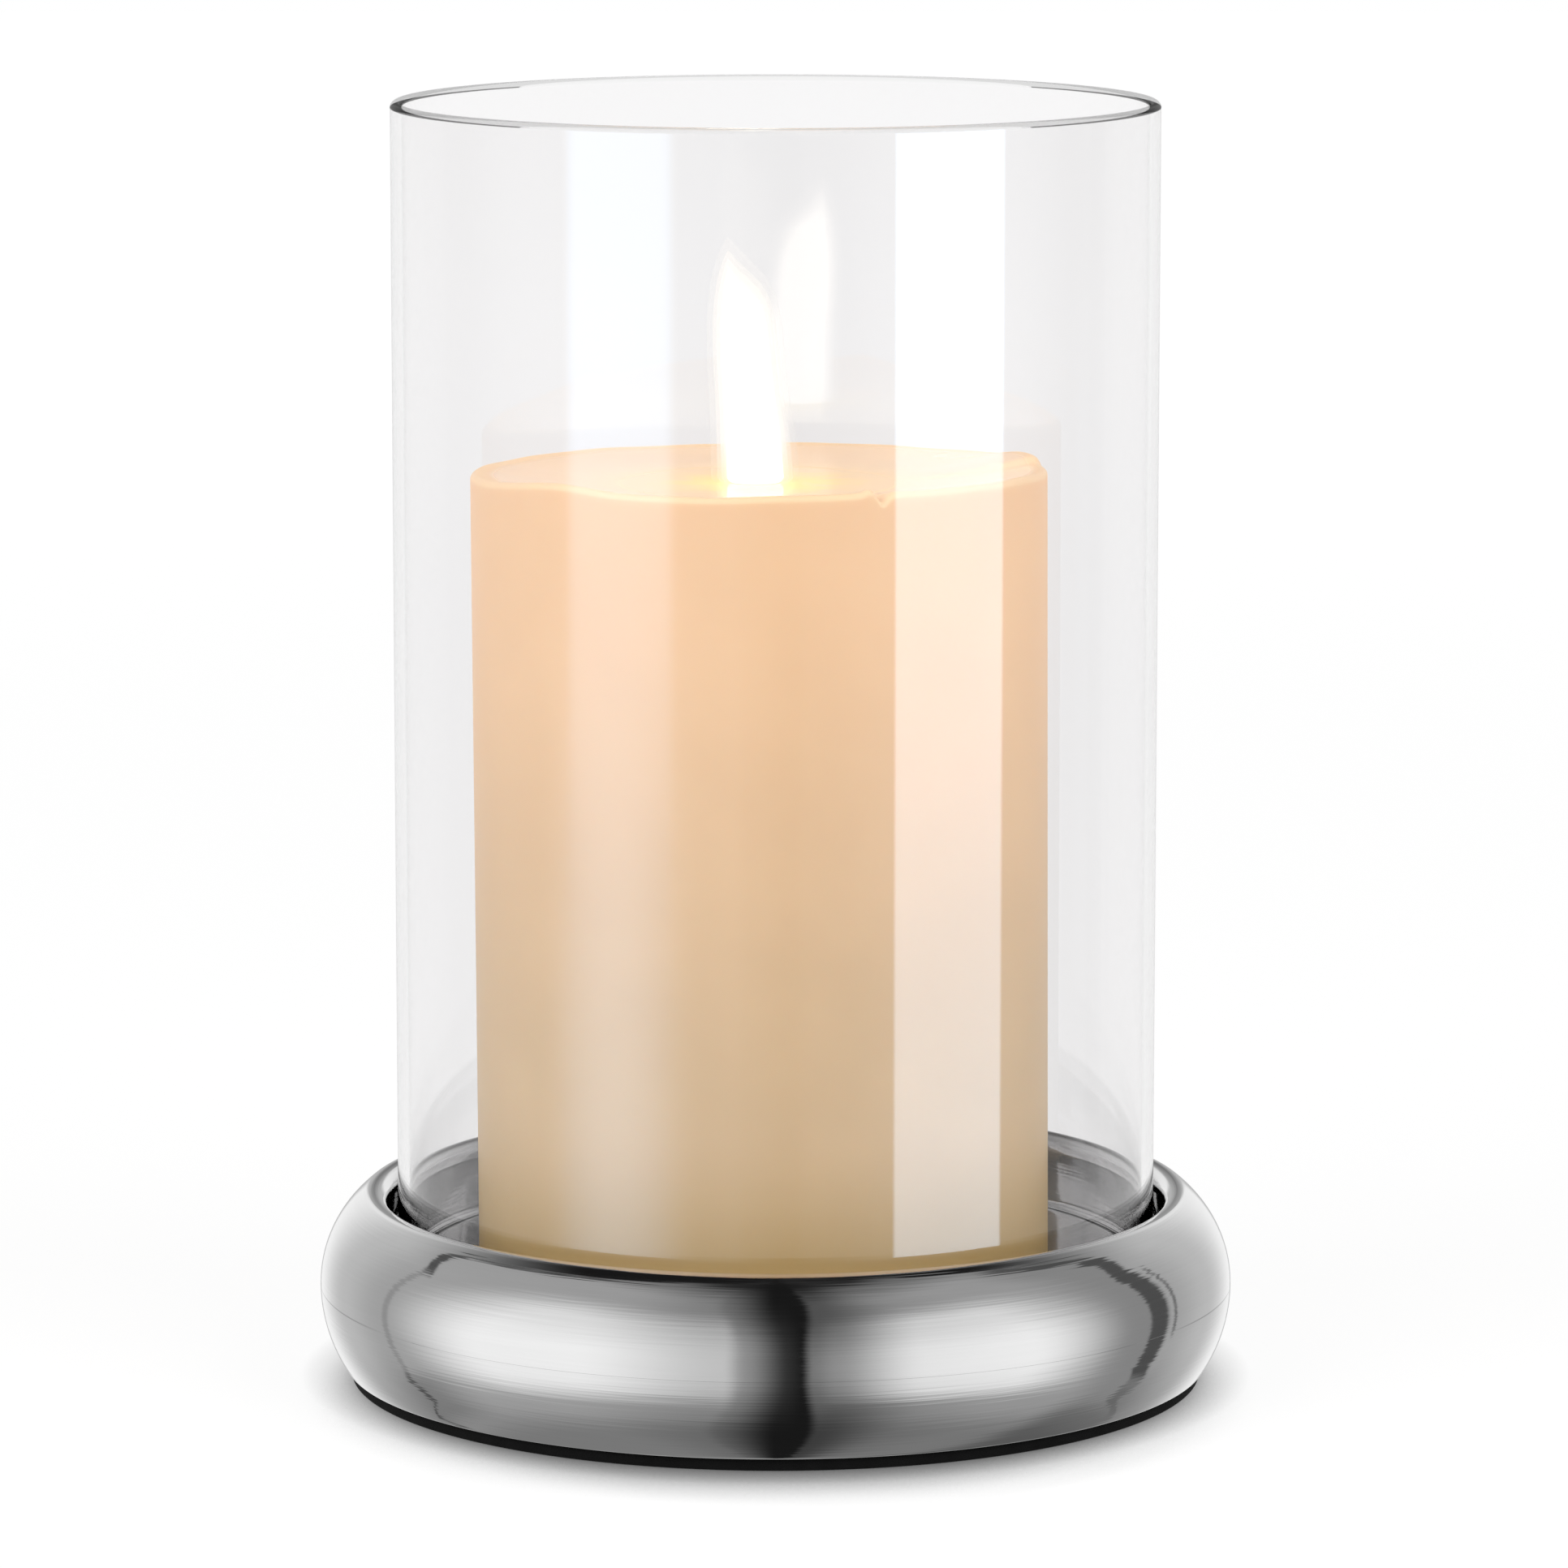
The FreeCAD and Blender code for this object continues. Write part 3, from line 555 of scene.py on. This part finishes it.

# %% [markdown]
# ## The lower shell of the base
#
# The lower pressing is a pan. Its belly meets the upper one at the seam, where both edges are broken by a
# small bevel, so that the seam shows as a fine line; on the left and right flanks the steel's colour darkens
# it further, as painted shade. A lip is stepped in by one sheet and nests inside the upper shell.

# %% Lower shell
FOOT_CORNER = 1.2
FOOT_INSET = 5.1
LIP_RISE = 4.0
GLUE = 0.1
WEB = 1.2
STEP_DEGREES = -4.69
foot_middle = (BASE_RADIUS - FOOT_INSET, PAD_TOP + FOOT_CORNER)
drop = SEAM - foot_middle[1]
low_belly = (FOOT_INSET ** 2 + drop ** 2 - FOOT_CORNER ** 2) / (2 * (FOOT_INSET - FOOT_CORNER))
low_middle = (BASE_RADIUS - low_belly, SEAM)
low_turn = -math.degrees(math.atan2(drop, low_belly - FOOT_INSET))
lip_out = belly - SHEET - GLUE
lip_in = lip_out - SHEET
lip_in_radius = belly_middle[0] + lip_in
lower_profile = profile(
    line((0, PAD_TOP), (foot_middle[0], PAD_TOP), 5),
    arc(foot_middle, FOOT_CORNER, -90, low_turn, 10),
    arc(low_middle, low_belly, low_turn, -math.degrees(math.asin(BEVEL / low_belly)), 48),
    line((BASE_RADIUS - BEVEL, SEAM), (belly_middle[0] + lip_out, SEAM)),
    arc(belly_middle, lip_out, 0, math.degrees(math.asin(LIP_RISE / lip_out)), 8),
    arc(belly_middle, lip_in, math.degrees(math.asin(LIP_RISE / lip_in)), 0, 8),
    line((lip_in_radius, SEAM), (lip_in_radius, SEAM - WEB)),
    arc(low_middle, low_belly - SHEET, STEP_DEGREES, low_turn, 12),
    arc(foot_middle, FOOT_CORNER - SHEET, low_turn, -90, 5),
    line((foot_middle[0], PAD_TOP + SHEET), (0, PAD_TOP + SHEET), 5))
lower_shell = skin("base_lower_shell_skin", turn(lower_profile))
lower_shell.data.materials.append(polished_steel)
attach(lower_shell, "base")
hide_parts("base_lower_shell")
print("lower belly arc %.2f mm" % low_belly)

# %% [markdown]
# ## The foam pad
#
# A disc of black closed-cell foam is stuck under the base, so that the steel doesn't scratch the table. It is
# matt and very dark, with a fine open grain from the cut cells at its edge.

# %% Foam pad
PAD_EDGE = 0.25
black_foam, wire = finish("black_foam")
place = wire.node("ShaderNodeTexCoord", out="Object")
cells = wire.node("ShaderNodeTexVoronoi", {}, {"Vector": place, "Scale": 2200.0}, out="Distance")
grain = wire.node("ShaderNodeTexNoise", {}, {"Vector": place, "Scale": 300.0, "Detail": 3.0})
foam_tone = grain.mix((0.003, 0.003, 0.003, 1.0), (0.009, 0.009, 0.009, 1.0))
bump = wire.node("ShaderNodeBump", {}, {"Strength": 0.5, "Distance": 0.0001, "Height": cells})
show(wire, wire.node("ShaderNodeBsdfPrincipled", {}, {
    "Base Color": foam_tone, "Roughness": 0.95, "Specular IOR Level": 0.2, "Normal": bump}))

pad_profile = profile(
    line((0, 0), (PAD_RADIUS - PAD_EDGE, 0), 4),
    arc((PAD_RADIUS - PAD_EDGE, PAD_EDGE), PAD_EDGE, -90, 0, 4),
    arc((PAD_RADIUS - PAD_EDGE, PAD_TOP - PAD_EDGE), PAD_EDGE, 0, 90, 4),
    line((PAD_RADIUS - PAD_EDGE, PAD_TOP), (0, PAD_TOP), 4))
pad = skin("base_pad_foam", turn(pad_profile))
pad.data.materials.append(black_foam)
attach(pad, "base")
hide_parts("base_pad")

# %% [markdown]
# ## The glass cylinder
#
# The cylinder is cut from drawn tube, and its rim is melted round in a flame. Glass in Cycles needs a closed
# wall with a true thickness, so the profile is a loop. Lamps have to light the candle through it: for shadow
# rays and for soft light the glass is simply clear, and only sharp rays bend in it. The melted rim is mostly
# clear for sharp rays too, because bent rays alone draw it darker than the photograph's thin lines. A row of
# points close to each rounded end keeps the shading of the straight wall even.

# %% Glass
GLASS_WALL = 2.0
FOOT_ROUND = 0.4
SEAT_AIR = 0.02
EVEN = 0.1
RIM_CLEAR = 0.75
clear_glass, wire = finish("clear_glass")
path = wire.node("ShaderNodeLightPath", out="Is Shadow Ray")
soft_light = (path + path["Is Diffuse Ray"]).math("MINIMUM", 1.0)
melted_rim = wire.node("ShaderNodeAttribute", {"attribute_name": "rim"}, out="Fac")
clearness = soft_light.math("MAXIMUM", RIM_CLEAR * melted_rim)
body = wire.node("ShaderNodeBsdfPrincipled", {}, {
    "Base Color": (0.933, 0.928, 0.930, 1.0), "Roughness": 0.0, "IOR": 1.5, "Transmission Weight": 1.0})
clear = wire.node("ShaderNodeBsdfTransparent", {}, {"Color": (0.94, 0.94, 0.94, 1.0)})
show(wire, wire.node("ShaderNodeMixShader", {}, {0: clearness, 1: body, 2: clear}))

foot = DISH_FLOOR + SEAT_AIR
bore = GLASS_RADIUS - GLASS_WALL
rim_round = GLASS_WALL / 2
glass_profile = profile(
    arc((GLASS_RADIUS - FOOT_ROUND, foot + FOOT_ROUND), FOOT_ROUND, -90, 0, 5),
    line((GLASS_RADIUS, foot + FOOT_ROUND + EVEN), (GLASS_RADIUS, GLASS_RIM - rim_round - EVEN), 12),
    arc((bore + rim_round, GLASS_RIM - rim_round), rim_round, 0, 180, 21),
    line((bore, GLASS_RIM - rim_round - EVEN), (bore, foot + FOOT_ROUND + EVEN), 12),
    arc((bore + FOOT_ROUND, foot + FOOT_ROUND), FOOT_ROUND, 180, 270, 5))
on_rim = (glass_profile[:, 1:] > GLASS_RIM - rim_round - EVEN / 2).astype(float)
glass = skin("glass_cylinder_wall", turn(glass_profile), loop=True, marks={"rim": on_rim})
glass.data.materials.append(clear_glass)
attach(glass, "glass")
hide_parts("glass_cylinder")

# %% [markdown]
# ## Ivory wax
#
# Pillar candle wax is ivory, faintly cloudy, and it lets light in. The flame lights it from inside: the top
# glows peach, and the glow dies away on the way down. A subsurface weight softens the shading, and a glow
# that fades with depth below the lip stands for the flame's light inside the wax. The same depth makes the
# colour darker and browner towards the foot, down in the dish: painted shade from the base's rim. The mesh
# carries that depth as a mark, because the lip isn't level.

# %% Finish: ivory wax
def wick_distance(place):
    """Distance from the candle's upright axis in mm, for a place split into X, Y and Z."""
    across = place - CANDLE_X * MM
    return (across * across + place["Y"] * place["Y"]).math("SQRT") * TO_MM


ivory_wax, wire = finish("ivory_wax")
place = wire.node("ShaderNodeTexCoord", out="Object")
clouds = wire.node("ShaderNodeTexNoise", {}, {"Vector": place, "Scale": 45.0, "Detail": 4.0})
grain = wire.node("ShaderNodeTexNoise", {}, {"Vector": place, "Scale": 900.0, "Detail": 2.0})
depth = wire.node("ShaderNodeAttribute", {"attribute_name": "depth"}, out="Fac")
place = wire.node("ShaderNodeSeparateXYZ", {}, {0: place}, out="X")
from_wick = wick_distance(place)
wax_tone_and_foot_shade = clouds.fade(0.3, 0.7).mix((0.81, 0.58, 0.34, 1.0), (0.85, 0.61, 0.36, 1.0))
# Darker and browner towards the foot, down in the dish: painted shade from the base's rim.
wax_tone_and_foot_shade = depth.fade(106.0, 136.0).mix(wax_tone_and_foot_shade, (0.54, 0.37, 0.15, 1.0))
side_glow = (1 - depth.fade(0.0, 115.0)).mix(BLACK, (0.31, 0.15, 0.085, 1.0))
# Painted light: the bowl on top glows with the flame's light, and the lip's rounded edge glows a little all
# round it, for the thin light line along the lip.
top_glow = (1 - from_wick.fade(8.0, 40.0)).mix((0.38, 0.27, 0.22, 1.0), (0.44, 0.31, 0.16, 1.0))
on_top = (1 - depth.fade(3.0, 5.0)) * (1 - from_wick.fade(46.0, 48.6))
on_lip = (1 - depth.fade(0.5, 1.6)) * from_wick.fade(46.5, 48.5)
wax_glow = on_lip.mix(on_top.mix(side_glow, top_glow), (0.34, 0.22, 0.15, 1.0))
bump = wire.node("ShaderNodeBump", {}, {"Strength": 0.02, "Distance": 0.0002, "Height": grain})
show(wire, wire.node("ShaderNodeBsdfPrincipled", {"subsurface_method": "RANDOM_WALK"}, {
    "Base Color": wax_tone_and_foot_shade, "Roughness": 0.40 - 0.2 * on_top + 0.1 * clouds, "Subsurface Weight": 0.2,
    "Subsurface Radius": (1.0, 0.6, 0.35), "Subsurface Scale": 0.006, "Normal": bump,
    "Emission Color": wax_glow, "Emission Strength": 1.0}))
print("ivory wax:", len(ivory_wax.node_tree.nodes), "nodes")

# %% [markdown]
# ## The pillar candle
#
# The candle is a turned pillar whose top has burnt into a shallow bowl. Its lip isn't a perfect ring: it
# stands higher in front than behind, swells at the front left, is nicked in front, and has a broken piece
# standing up on the right. The turned grid is lifted near the lip by a sum of small bumps and waves, and the
# whole candle leans by a third of a degree, as it was set down.

# %% Candle
LIP_ROUND = 1.2
POOL_RADIUS = 24.0
POOL_DEPTH = 5.0
WICK_HOLE = 1.45
NECK, NECK_TOP = 1.9, 6.05
TAB, TAB_RECESS = 10.05, 0.45
CHAMFER = 0.8
LIP_ZONE = 14.0
LEAN_FOOT, LEAN = 0.2, 0.8
CANDLE_ROUND = 480
candle_foot = DISH_FLOOR + SEAT_AIR
basin = (POOL_RADIUS ** 2 + POOL_DEPTH ** 2) / (2 * POOL_DEPTH)
basin_middle = (0.0, POOL_TOP - POOL_DEPTH + basin)
run, burn = CANDLE_RADIUS - LIP_ROUND - POOL_RADIUS, LIP - POOL_TOP
bowl = (run ** 2 + burn ** 2) / (2 * burn) - LIP_ROUND
tilt = math.degrees(math.asin(run / (bowl + LIP_ROUND)))


def lean(z):
    """Sideways shift of the candle at a height, in mm: a straight line from foot to lip, towards the left."""
    return LEAN_FOOT - LEAN * (z - DISH_FLOOR) / (LIP - DISH_FLOOR)


def bell(angle, middle, width):
    """A smooth bump of height 1: e to the minus square of the distance over the width."""
    return np.exp(-((angle - middle) / width) ** 2)


def lip_wave(angle):
    """How far the lip stands above its drawn height, in mm, at an angle in degrees right of the front."""
    level = 1.05 * np.cos(np.radians(angle)) + 0.35 * np.sin(np.radians(angle))
    swell = 1.15 * bell(angle, -45.0, 14.0) + 0.25 * bell(angle, 35.0, 30.0)
    broken = 1.2 / (1 + np.exp(-(angle - 99.5) / 0.8)) / (1 + np.exp((angle - 116.0) / 3.5))
    ripple = 0.08 * np.sin(np.radians(7 * angle)) + 0.05 * np.sin(np.radians(17 * angle + 40))
    return level + swell + broken + ripple


def ramp(value, start, length):
    """0 up to start, then a straight rise to 1 over this length."""
    return np.clip((value - start) / length, 0, 1)


wax_profile = profile(
    line((WICK_HOLE, candle_foot + NECK_TOP), (NECK, candle_foot + NECK_TOP)),
    line((NECK, candle_foot + TAB_RECESS), (TAB, candle_foot + TAB_RECESS)),
    line((TAB, candle_foot), (CANDLE_RADIUS - CHAMFER, candle_foot), 4),
    line((CANDLE_RADIUS, candle_foot + CHAMFER), (CANDLE_RADIUS, LIP - LIP_ZONE), 18),
    line((CANDLE_RADIUS, LIP - LIP_ZONE), (CANDLE_RADIUS, LIP - LIP_ROUND), 18),
    arc((CANDLE_RADIUS - LIP_ROUND, LIP - LIP_ROUND), LIP_ROUND, 0, 90 + tilt, 11),
    arc((POOL_RADIUS, POOL_TOP + bowl), bowl, tilt - 90, -90, 24),
    arc(basin_middle, basin, -math.degrees(math.acos(POOL_RADIUS / basin)),
        -math.degrees(math.acos(WICK_HOLE / basin)), 10),
    line((WICK_HOLE, POOL_TOP - POOL_DEPTH), (WICK_HOLE, candle_foot + NECK_TOP), 3))
wax_grid = turn(wax_profile, CANDLE_ROUND)
wax_r, wax_z = wax_profile[:, :1], wax_profile[:, 1:]
front_angle = np.degrees(np.arctan2(wax_grid[0, :, 0], -wax_grid[0, :, 1]))
near_lip = ramp(wax_r, 26.0, 22.0) * ramp(wax_z, LIP - LIP_ZONE, 12.0)
on_edge = ramp(wax_r, 46.5, 2.0) * ramp(wax_z, LIP - 3.5, 2.5)
nick = 0.7 * bell(front_angle, 22.2, 1.3) - 1.7 * bell(front_angle, 24.6, 1.5)
wax_grid[..., 2] += near_lip * lip_wave(front_angle) + on_edge * nick
wax_grid[..., 0] += CANDLE_X + lean(wax_grid[..., 2])
candle = skin("candle_wax_pillar", wax_grid, loop=True, marks={"depth": LIP - wax_z})
candle.data.materials.append(ivory_wax)
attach(candle, "candle")
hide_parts("candle_wax")

# %% [markdown]
# ## The pool of melted wax
#
# Round the wick the wax is liquid: clear, yellow in the flame's light and as smooth as a mirror. It is a thin
# lens that lies in the bowl's basin, with a small meniscus where it climbs the wick.

# %% Pool
POOL_GAP = 0.05
POOL_ROUND = 160
CLIMB_OUT, CLIMB_BEND, CLIMB = 1.0, 0.4, 0.4
liquid_wax, wire = finish("liquid_wax")
place = wire.node("ShaderNodeTexCoord", out="Object")
swirl = wire.node("ShaderNodeTexNoise", {}, {
    "Vector": place, "Scale": 110.0, "Detail": 2.0, "Distortion": 1.5})
place = wire.node("ShaderNodeSeparateXYZ", {}, {0: place}, out="X")
from_wick = wick_distance(place)
near = 1 - (from_wick + 16.0 * swirl - 8.0).fade(4.0, 22.0)
pool_tone = near.mix((0.85, 0.61, 0.36, 1.0), (0.90, 0.68, 0.32, 1.0))
pool_glow = near.mix((0.46, 0.30, 0.17, 1.0), (0.56, 0.35, 0.07, 1.0))
show(wire, wire.node("ShaderNodeBsdfPrincipled", {}, {
    "Base Color": pool_tone, "Roughness": 0.04, "IOR": 1.44,
    "Emission Color": pool_glow, "Emission Strength": 1.0}))

bed = basin - POOL_GAP
brim = math.sqrt(bed ** 2 - (basin_middle[1] - POOL_TOP) ** 2)
pool_profile = profile(
    arc(basin_middle, bed, -math.degrees(math.acos(WICK_HOLE / bed)),
        -math.degrees(math.acos(brim / bed)), 14),
    line((brim, POOL_TOP), (WICK_HOLE + CLIMB_OUT, POOL_TOP), 14),
    line((WICK_HOLE + CLIMB_BEND, POOL_TOP + 0.3 * CLIMB), (WICK_HOLE, POOL_TOP + CLIMB), 3))
pool_grid = turn(pool_profile, POOL_ROUND)
pool_grid[..., 0] += CANDLE_X + lean(POOL_TOP)
pool = skin("melted_wax_pool", pool_grid, loop=True)
pool.data.materials.append(liquid_wax)
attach(pool, "candle")
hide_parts("melted_wax")

# %% [markdown]
# ## The wick
#
# The wick is a plait of cotton. Its burnt end has curled over to one side and is black, with an ember at the
# tip. It is a tube carried along a path: upright through the wax, then round a small bend. Two crossing
# families of ridges on the tube give the plait.

# %% Wick
WICK_RADIUS = 1.4
CURL = 7.0
CURL_TURN = 45.0
KNEE_RISE = 3.4
WICK_ROUND = 36
PLAIT_TURN = 2.1
RIDGE = 0.13
TIP_TAPER = 1.2
knee = POOL_TOP + KNEE_RISE
cotton_wick, wire = finish("cotton_wick")
place = wire.node("ShaderNodeTexCoord", out="Object")
height = wire.node("ShaderNodeSeparateXYZ", {}, {0: place}, out="Z")
fibre = wire.node("ShaderNodeTexNoise", {}, {"Vector": place, "Scale": 2500.0, "Detail": 3.0})
burnt = (height * TO_MM).fade(POOL_TOP - 1.0, POOL_TOP + 3.0)
ember = (height * TO_MM).fade(knee + 4.2, knee + 5.6)
cotton = fibre.mix((0.62, 0.52, 0.36, 1.0), (0.80, 0.72, 0.55, 1.0))
char = fibre.mix((0.010, 0.009, 0.008, 1.0), (0.045, 0.038, 0.032, 1.0))
wick_tone = burnt.mix(cotton, char)
ember_tone = ember.mix(BLACK, (1.0, 0.28, 0.05, 1.0))
bump = wire.node("ShaderNodeBump", {}, {"Strength": 0.4, "Distance": 0.0002, "Height": fibre})
show(wire, wire.node("ShaderNodeBsdfPrincipled", {}, {
    "Base Color": wick_tone, "Roughness": 0.9, "Normal": bump,
    "Emission Color": ember_tone, "Emission Strength": 2.0}))


def tube(path, ahead, radius, around):
    """Rings carried along a path in the XZ plane: path + radius (cos a across + sin a Y)."""
    a = np.arange(around) * (2 * math.pi / around)
    across = np.stack((ahead[:, 1], 0 * ahead[:, 0], -ahead[:, 0]), axis=1)
    ring = np.cos(a)[None, :, None] * across[:, None, :]
    ring[..., 1] += np.sin(a)
    return path[:, None, :] + radius[..., None] * ring


bend = np.radians(np.linspace(0.0, CURL_TURN, 40))
in_wax = np.linspace(candle_foot, POOL_TOP - 2.0, 12)
straight = np.concatenate((in_wax, np.linspace(POOL_TOP - 1.8, knee, 36)))
wick_x = np.concatenate((0 * straight, CURL * (np.cos(bend[1:]) - 1.0)))
wick_z = np.concatenate((straight, knee + CURL * np.sin(bend[1:])))
ahead_x = np.concatenate((0 * straight, -np.sin(bend[1:])))
ahead_z = np.concatenate((1 + 0 * straight, np.cos(bend[1:])))
wick_path = np.column_stack((CANDLE_X + lean(wick_z) + wick_x, 0 * wick_x, wick_z))
length = np.concatenate(([0.0], np.cumsum(np.hypot(np.diff(wick_x), np.diff(wick_z)))))
a = np.arange(WICK_ROUND) * (2 * math.pi / WICK_ROUND)
twist = PLAIT_TURN * length[:, None]
ridge = np.maximum(np.cos(2 * a + twist), np.cos(2 * a - twist))
wick_radius = WICK_RADIUS * (1 - RIDGE + RIDGE * ridge)
wick_radius *= np.sqrt(ramp(length[-1] - length, 0.0, TIP_TAPER))[:, None]
wick_grid = tube(wick_path, np.column_stack((ahead_x, ahead_z)), wick_radius, WICK_ROUND)
foot_ring = wick_grid[:1].mean(axis=1, keepdims=True) + 0 * wick_grid[:1]
wick = skin("candle_wick_plait", np.concatenate((foot_ring, wick_grid)), sharp=70.0)
wick.data.materials.append(cotton_wick)
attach(wick, "candle")
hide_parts("candle_wick")

# %% [markdown]
# ## The wick's tin tab
#
# A small tin disc holds the wick's foot. It is hidden under the candle until the candle is lifted out and
# turned over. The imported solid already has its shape, so it only gets its finish: bright tin with fine
# scratches.

# %% Tin tab
tin_plate, wire = finish("tin_plate")
place = wire.node("ShaderNodeTexCoord", out="Object")
scratches = wire.node("ShaderNodeTexNoise", {}, {"Vector": place, "Scale": 800.0, "Detail": 4.0})
tin_tone = scratches.mix((0.58, 0.58, 0.58, 1.0), (0.74, 0.74, 0.73, 1.0))
show(wire, wire.node("ShaderNodeBsdfPrincipled", {}, {
    "Base Color": tin_tone, "Metallic": 1.0, "Roughness": 0.25 + 0.2 * scratches}))
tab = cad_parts["wick_tab"]
tab.data.materials.clear()
tab.data.materials.append(tin_plate)
print("tin plate:", len(tin_plate.node_tree.nodes), "nodes")

# %% [markdown]
# ## The flame
#
# The candle burns. A flame is glowing gas, not a solid, so it is only here: a bright core inside thin veils
# that let more and more of the background through, so that its edge is soft from every side. Its profile is a
# drop that stands on the pool, and its middle line leans to the left as it rises. A real flame is many times
# brighter than the picture's white, so sharp reflections see it at a strength of their own, which gives the
# mirror image in the rear glass.

# %% Flame
FLAME_HEIGHTS = np.array([157.4, 157.5, 158.2, 166.5, 172.2, 178.4, 184.6, 188.4, 191.0, 193.0, 194.8, 196.2])
FLAME_RADII = np.array([0.0, 5.3, 5.9, 5.6, 5.25, 5.1, 4.85, 4.3, 3.4, 2.1, 0.9, 0.0])
FLAME_MIDDLES = np.array([-3.5, -3.5, -3.5, -3.95, -4.5, -5.05, -5.4, -5.7, -6.3, -7.2, -7.9, -8.2])
FLAME_ROUND, FLAME_ROWS = 56, 64
MIRRORED_FLAME = (4.5, 4.2, 3.8)
VEILS = [(-0.6, 0.45), (0.0, 0.32), (0.7, 0.18), (1.8, 0.07)]


def flame_grid(grow):
    """Rings of a leaning drop: radius and middle line follow the height; grow adds mm all round."""
    t = (1 - np.cos(np.linspace(0.0, math.pi, FLAME_ROWS))) / 2
    z = FLAME_HEIGHTS[0] + t * (FLAME_HEIGHTS[-1] - FLAME_HEIGHTS[0])
    radius = np.interp(z, FLAME_HEIGHTS, FLAME_RADII)
    middle = np.interp(z, FLAME_HEIGHTS, FLAME_MIDDLES)
    radius = np.maximum(radius + grow * np.sqrt(radius / FLAME_RADII.max()), 0.0)
    a = np.arange(FLAME_ROUND) * (2 * math.pi / FLAME_ROUND)
    x = middle[:, None] + radius[:, None] * np.cos(a)
    y = radius[:, None] * np.sin(a)
    return np.stack((x, y, (z + 2.0 * grow * t ** 4)[:, None] + 0 * a), axis=2)


def flame_layer(name, grow, tone, strength, cover):
    """One layer of the flame: how far out it lies, its colour and brightness, and how much it covers."""
    material, wire = finish(name)
    place = wire.node("ShaderNodeTexCoord", out="Object")
    height = wire.node("ShaderNodeSeparateXYZ", {}, {0: place}, out="Z") * TO_MM
    foot = 1 - height.fade(FLAME_HEIGHTS[0], FLAME_HEIGHTS[0] + 8.0)
    path = wire.node("ShaderNodeLightPath", out="Is Glossy Ray")
    gas = foot.mix(tone, (1.0, 0.90, 0.64, 1.0))
    mirrored = path * path["Is Singular Ray"] * (1 - path["Is Transmission Ray"])
    gas = mirrored.mix(gas, (*(part / strength for part in MIRRORED_FLAME), 1.0))
    show(wire, wire.node("ShaderNodeBsdfPrincipled", {}, {
        "Base Color": BLACK, "Roughness": 1.0, "Specular IOR Level": 0.0, "Alpha": cover,
        "Emission Color": gas, "Emission Strength": strength}))
    layer = skin(name, flame_grid(grow))
    layer.data.materials.append(material)
    layer.visible_shadow = False
    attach(layer, "candle")


flame_layer("flame_core", -1.0, (1.0, 0.93, 0.80, 1.0), 5.0, 1.0)
for number, (grow, cover) in enumerate(VEILS, start=1):
    flame_layer("flame_veil_%d" % number, grow, (1.0, 0.95, 0.88, 1.0), 1.25, cover)

# %% [markdown]
# ## The dressed size, and the end
#
# The box round the dressed lantern is printed. The dressed lantern may not outgrow its
# solids.

# %% Print the dressed box
low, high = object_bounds()
print("dressed from", [round(c / MM, 2) for c in low], "to", [round(c / MM, 2) for c in high], "mm")
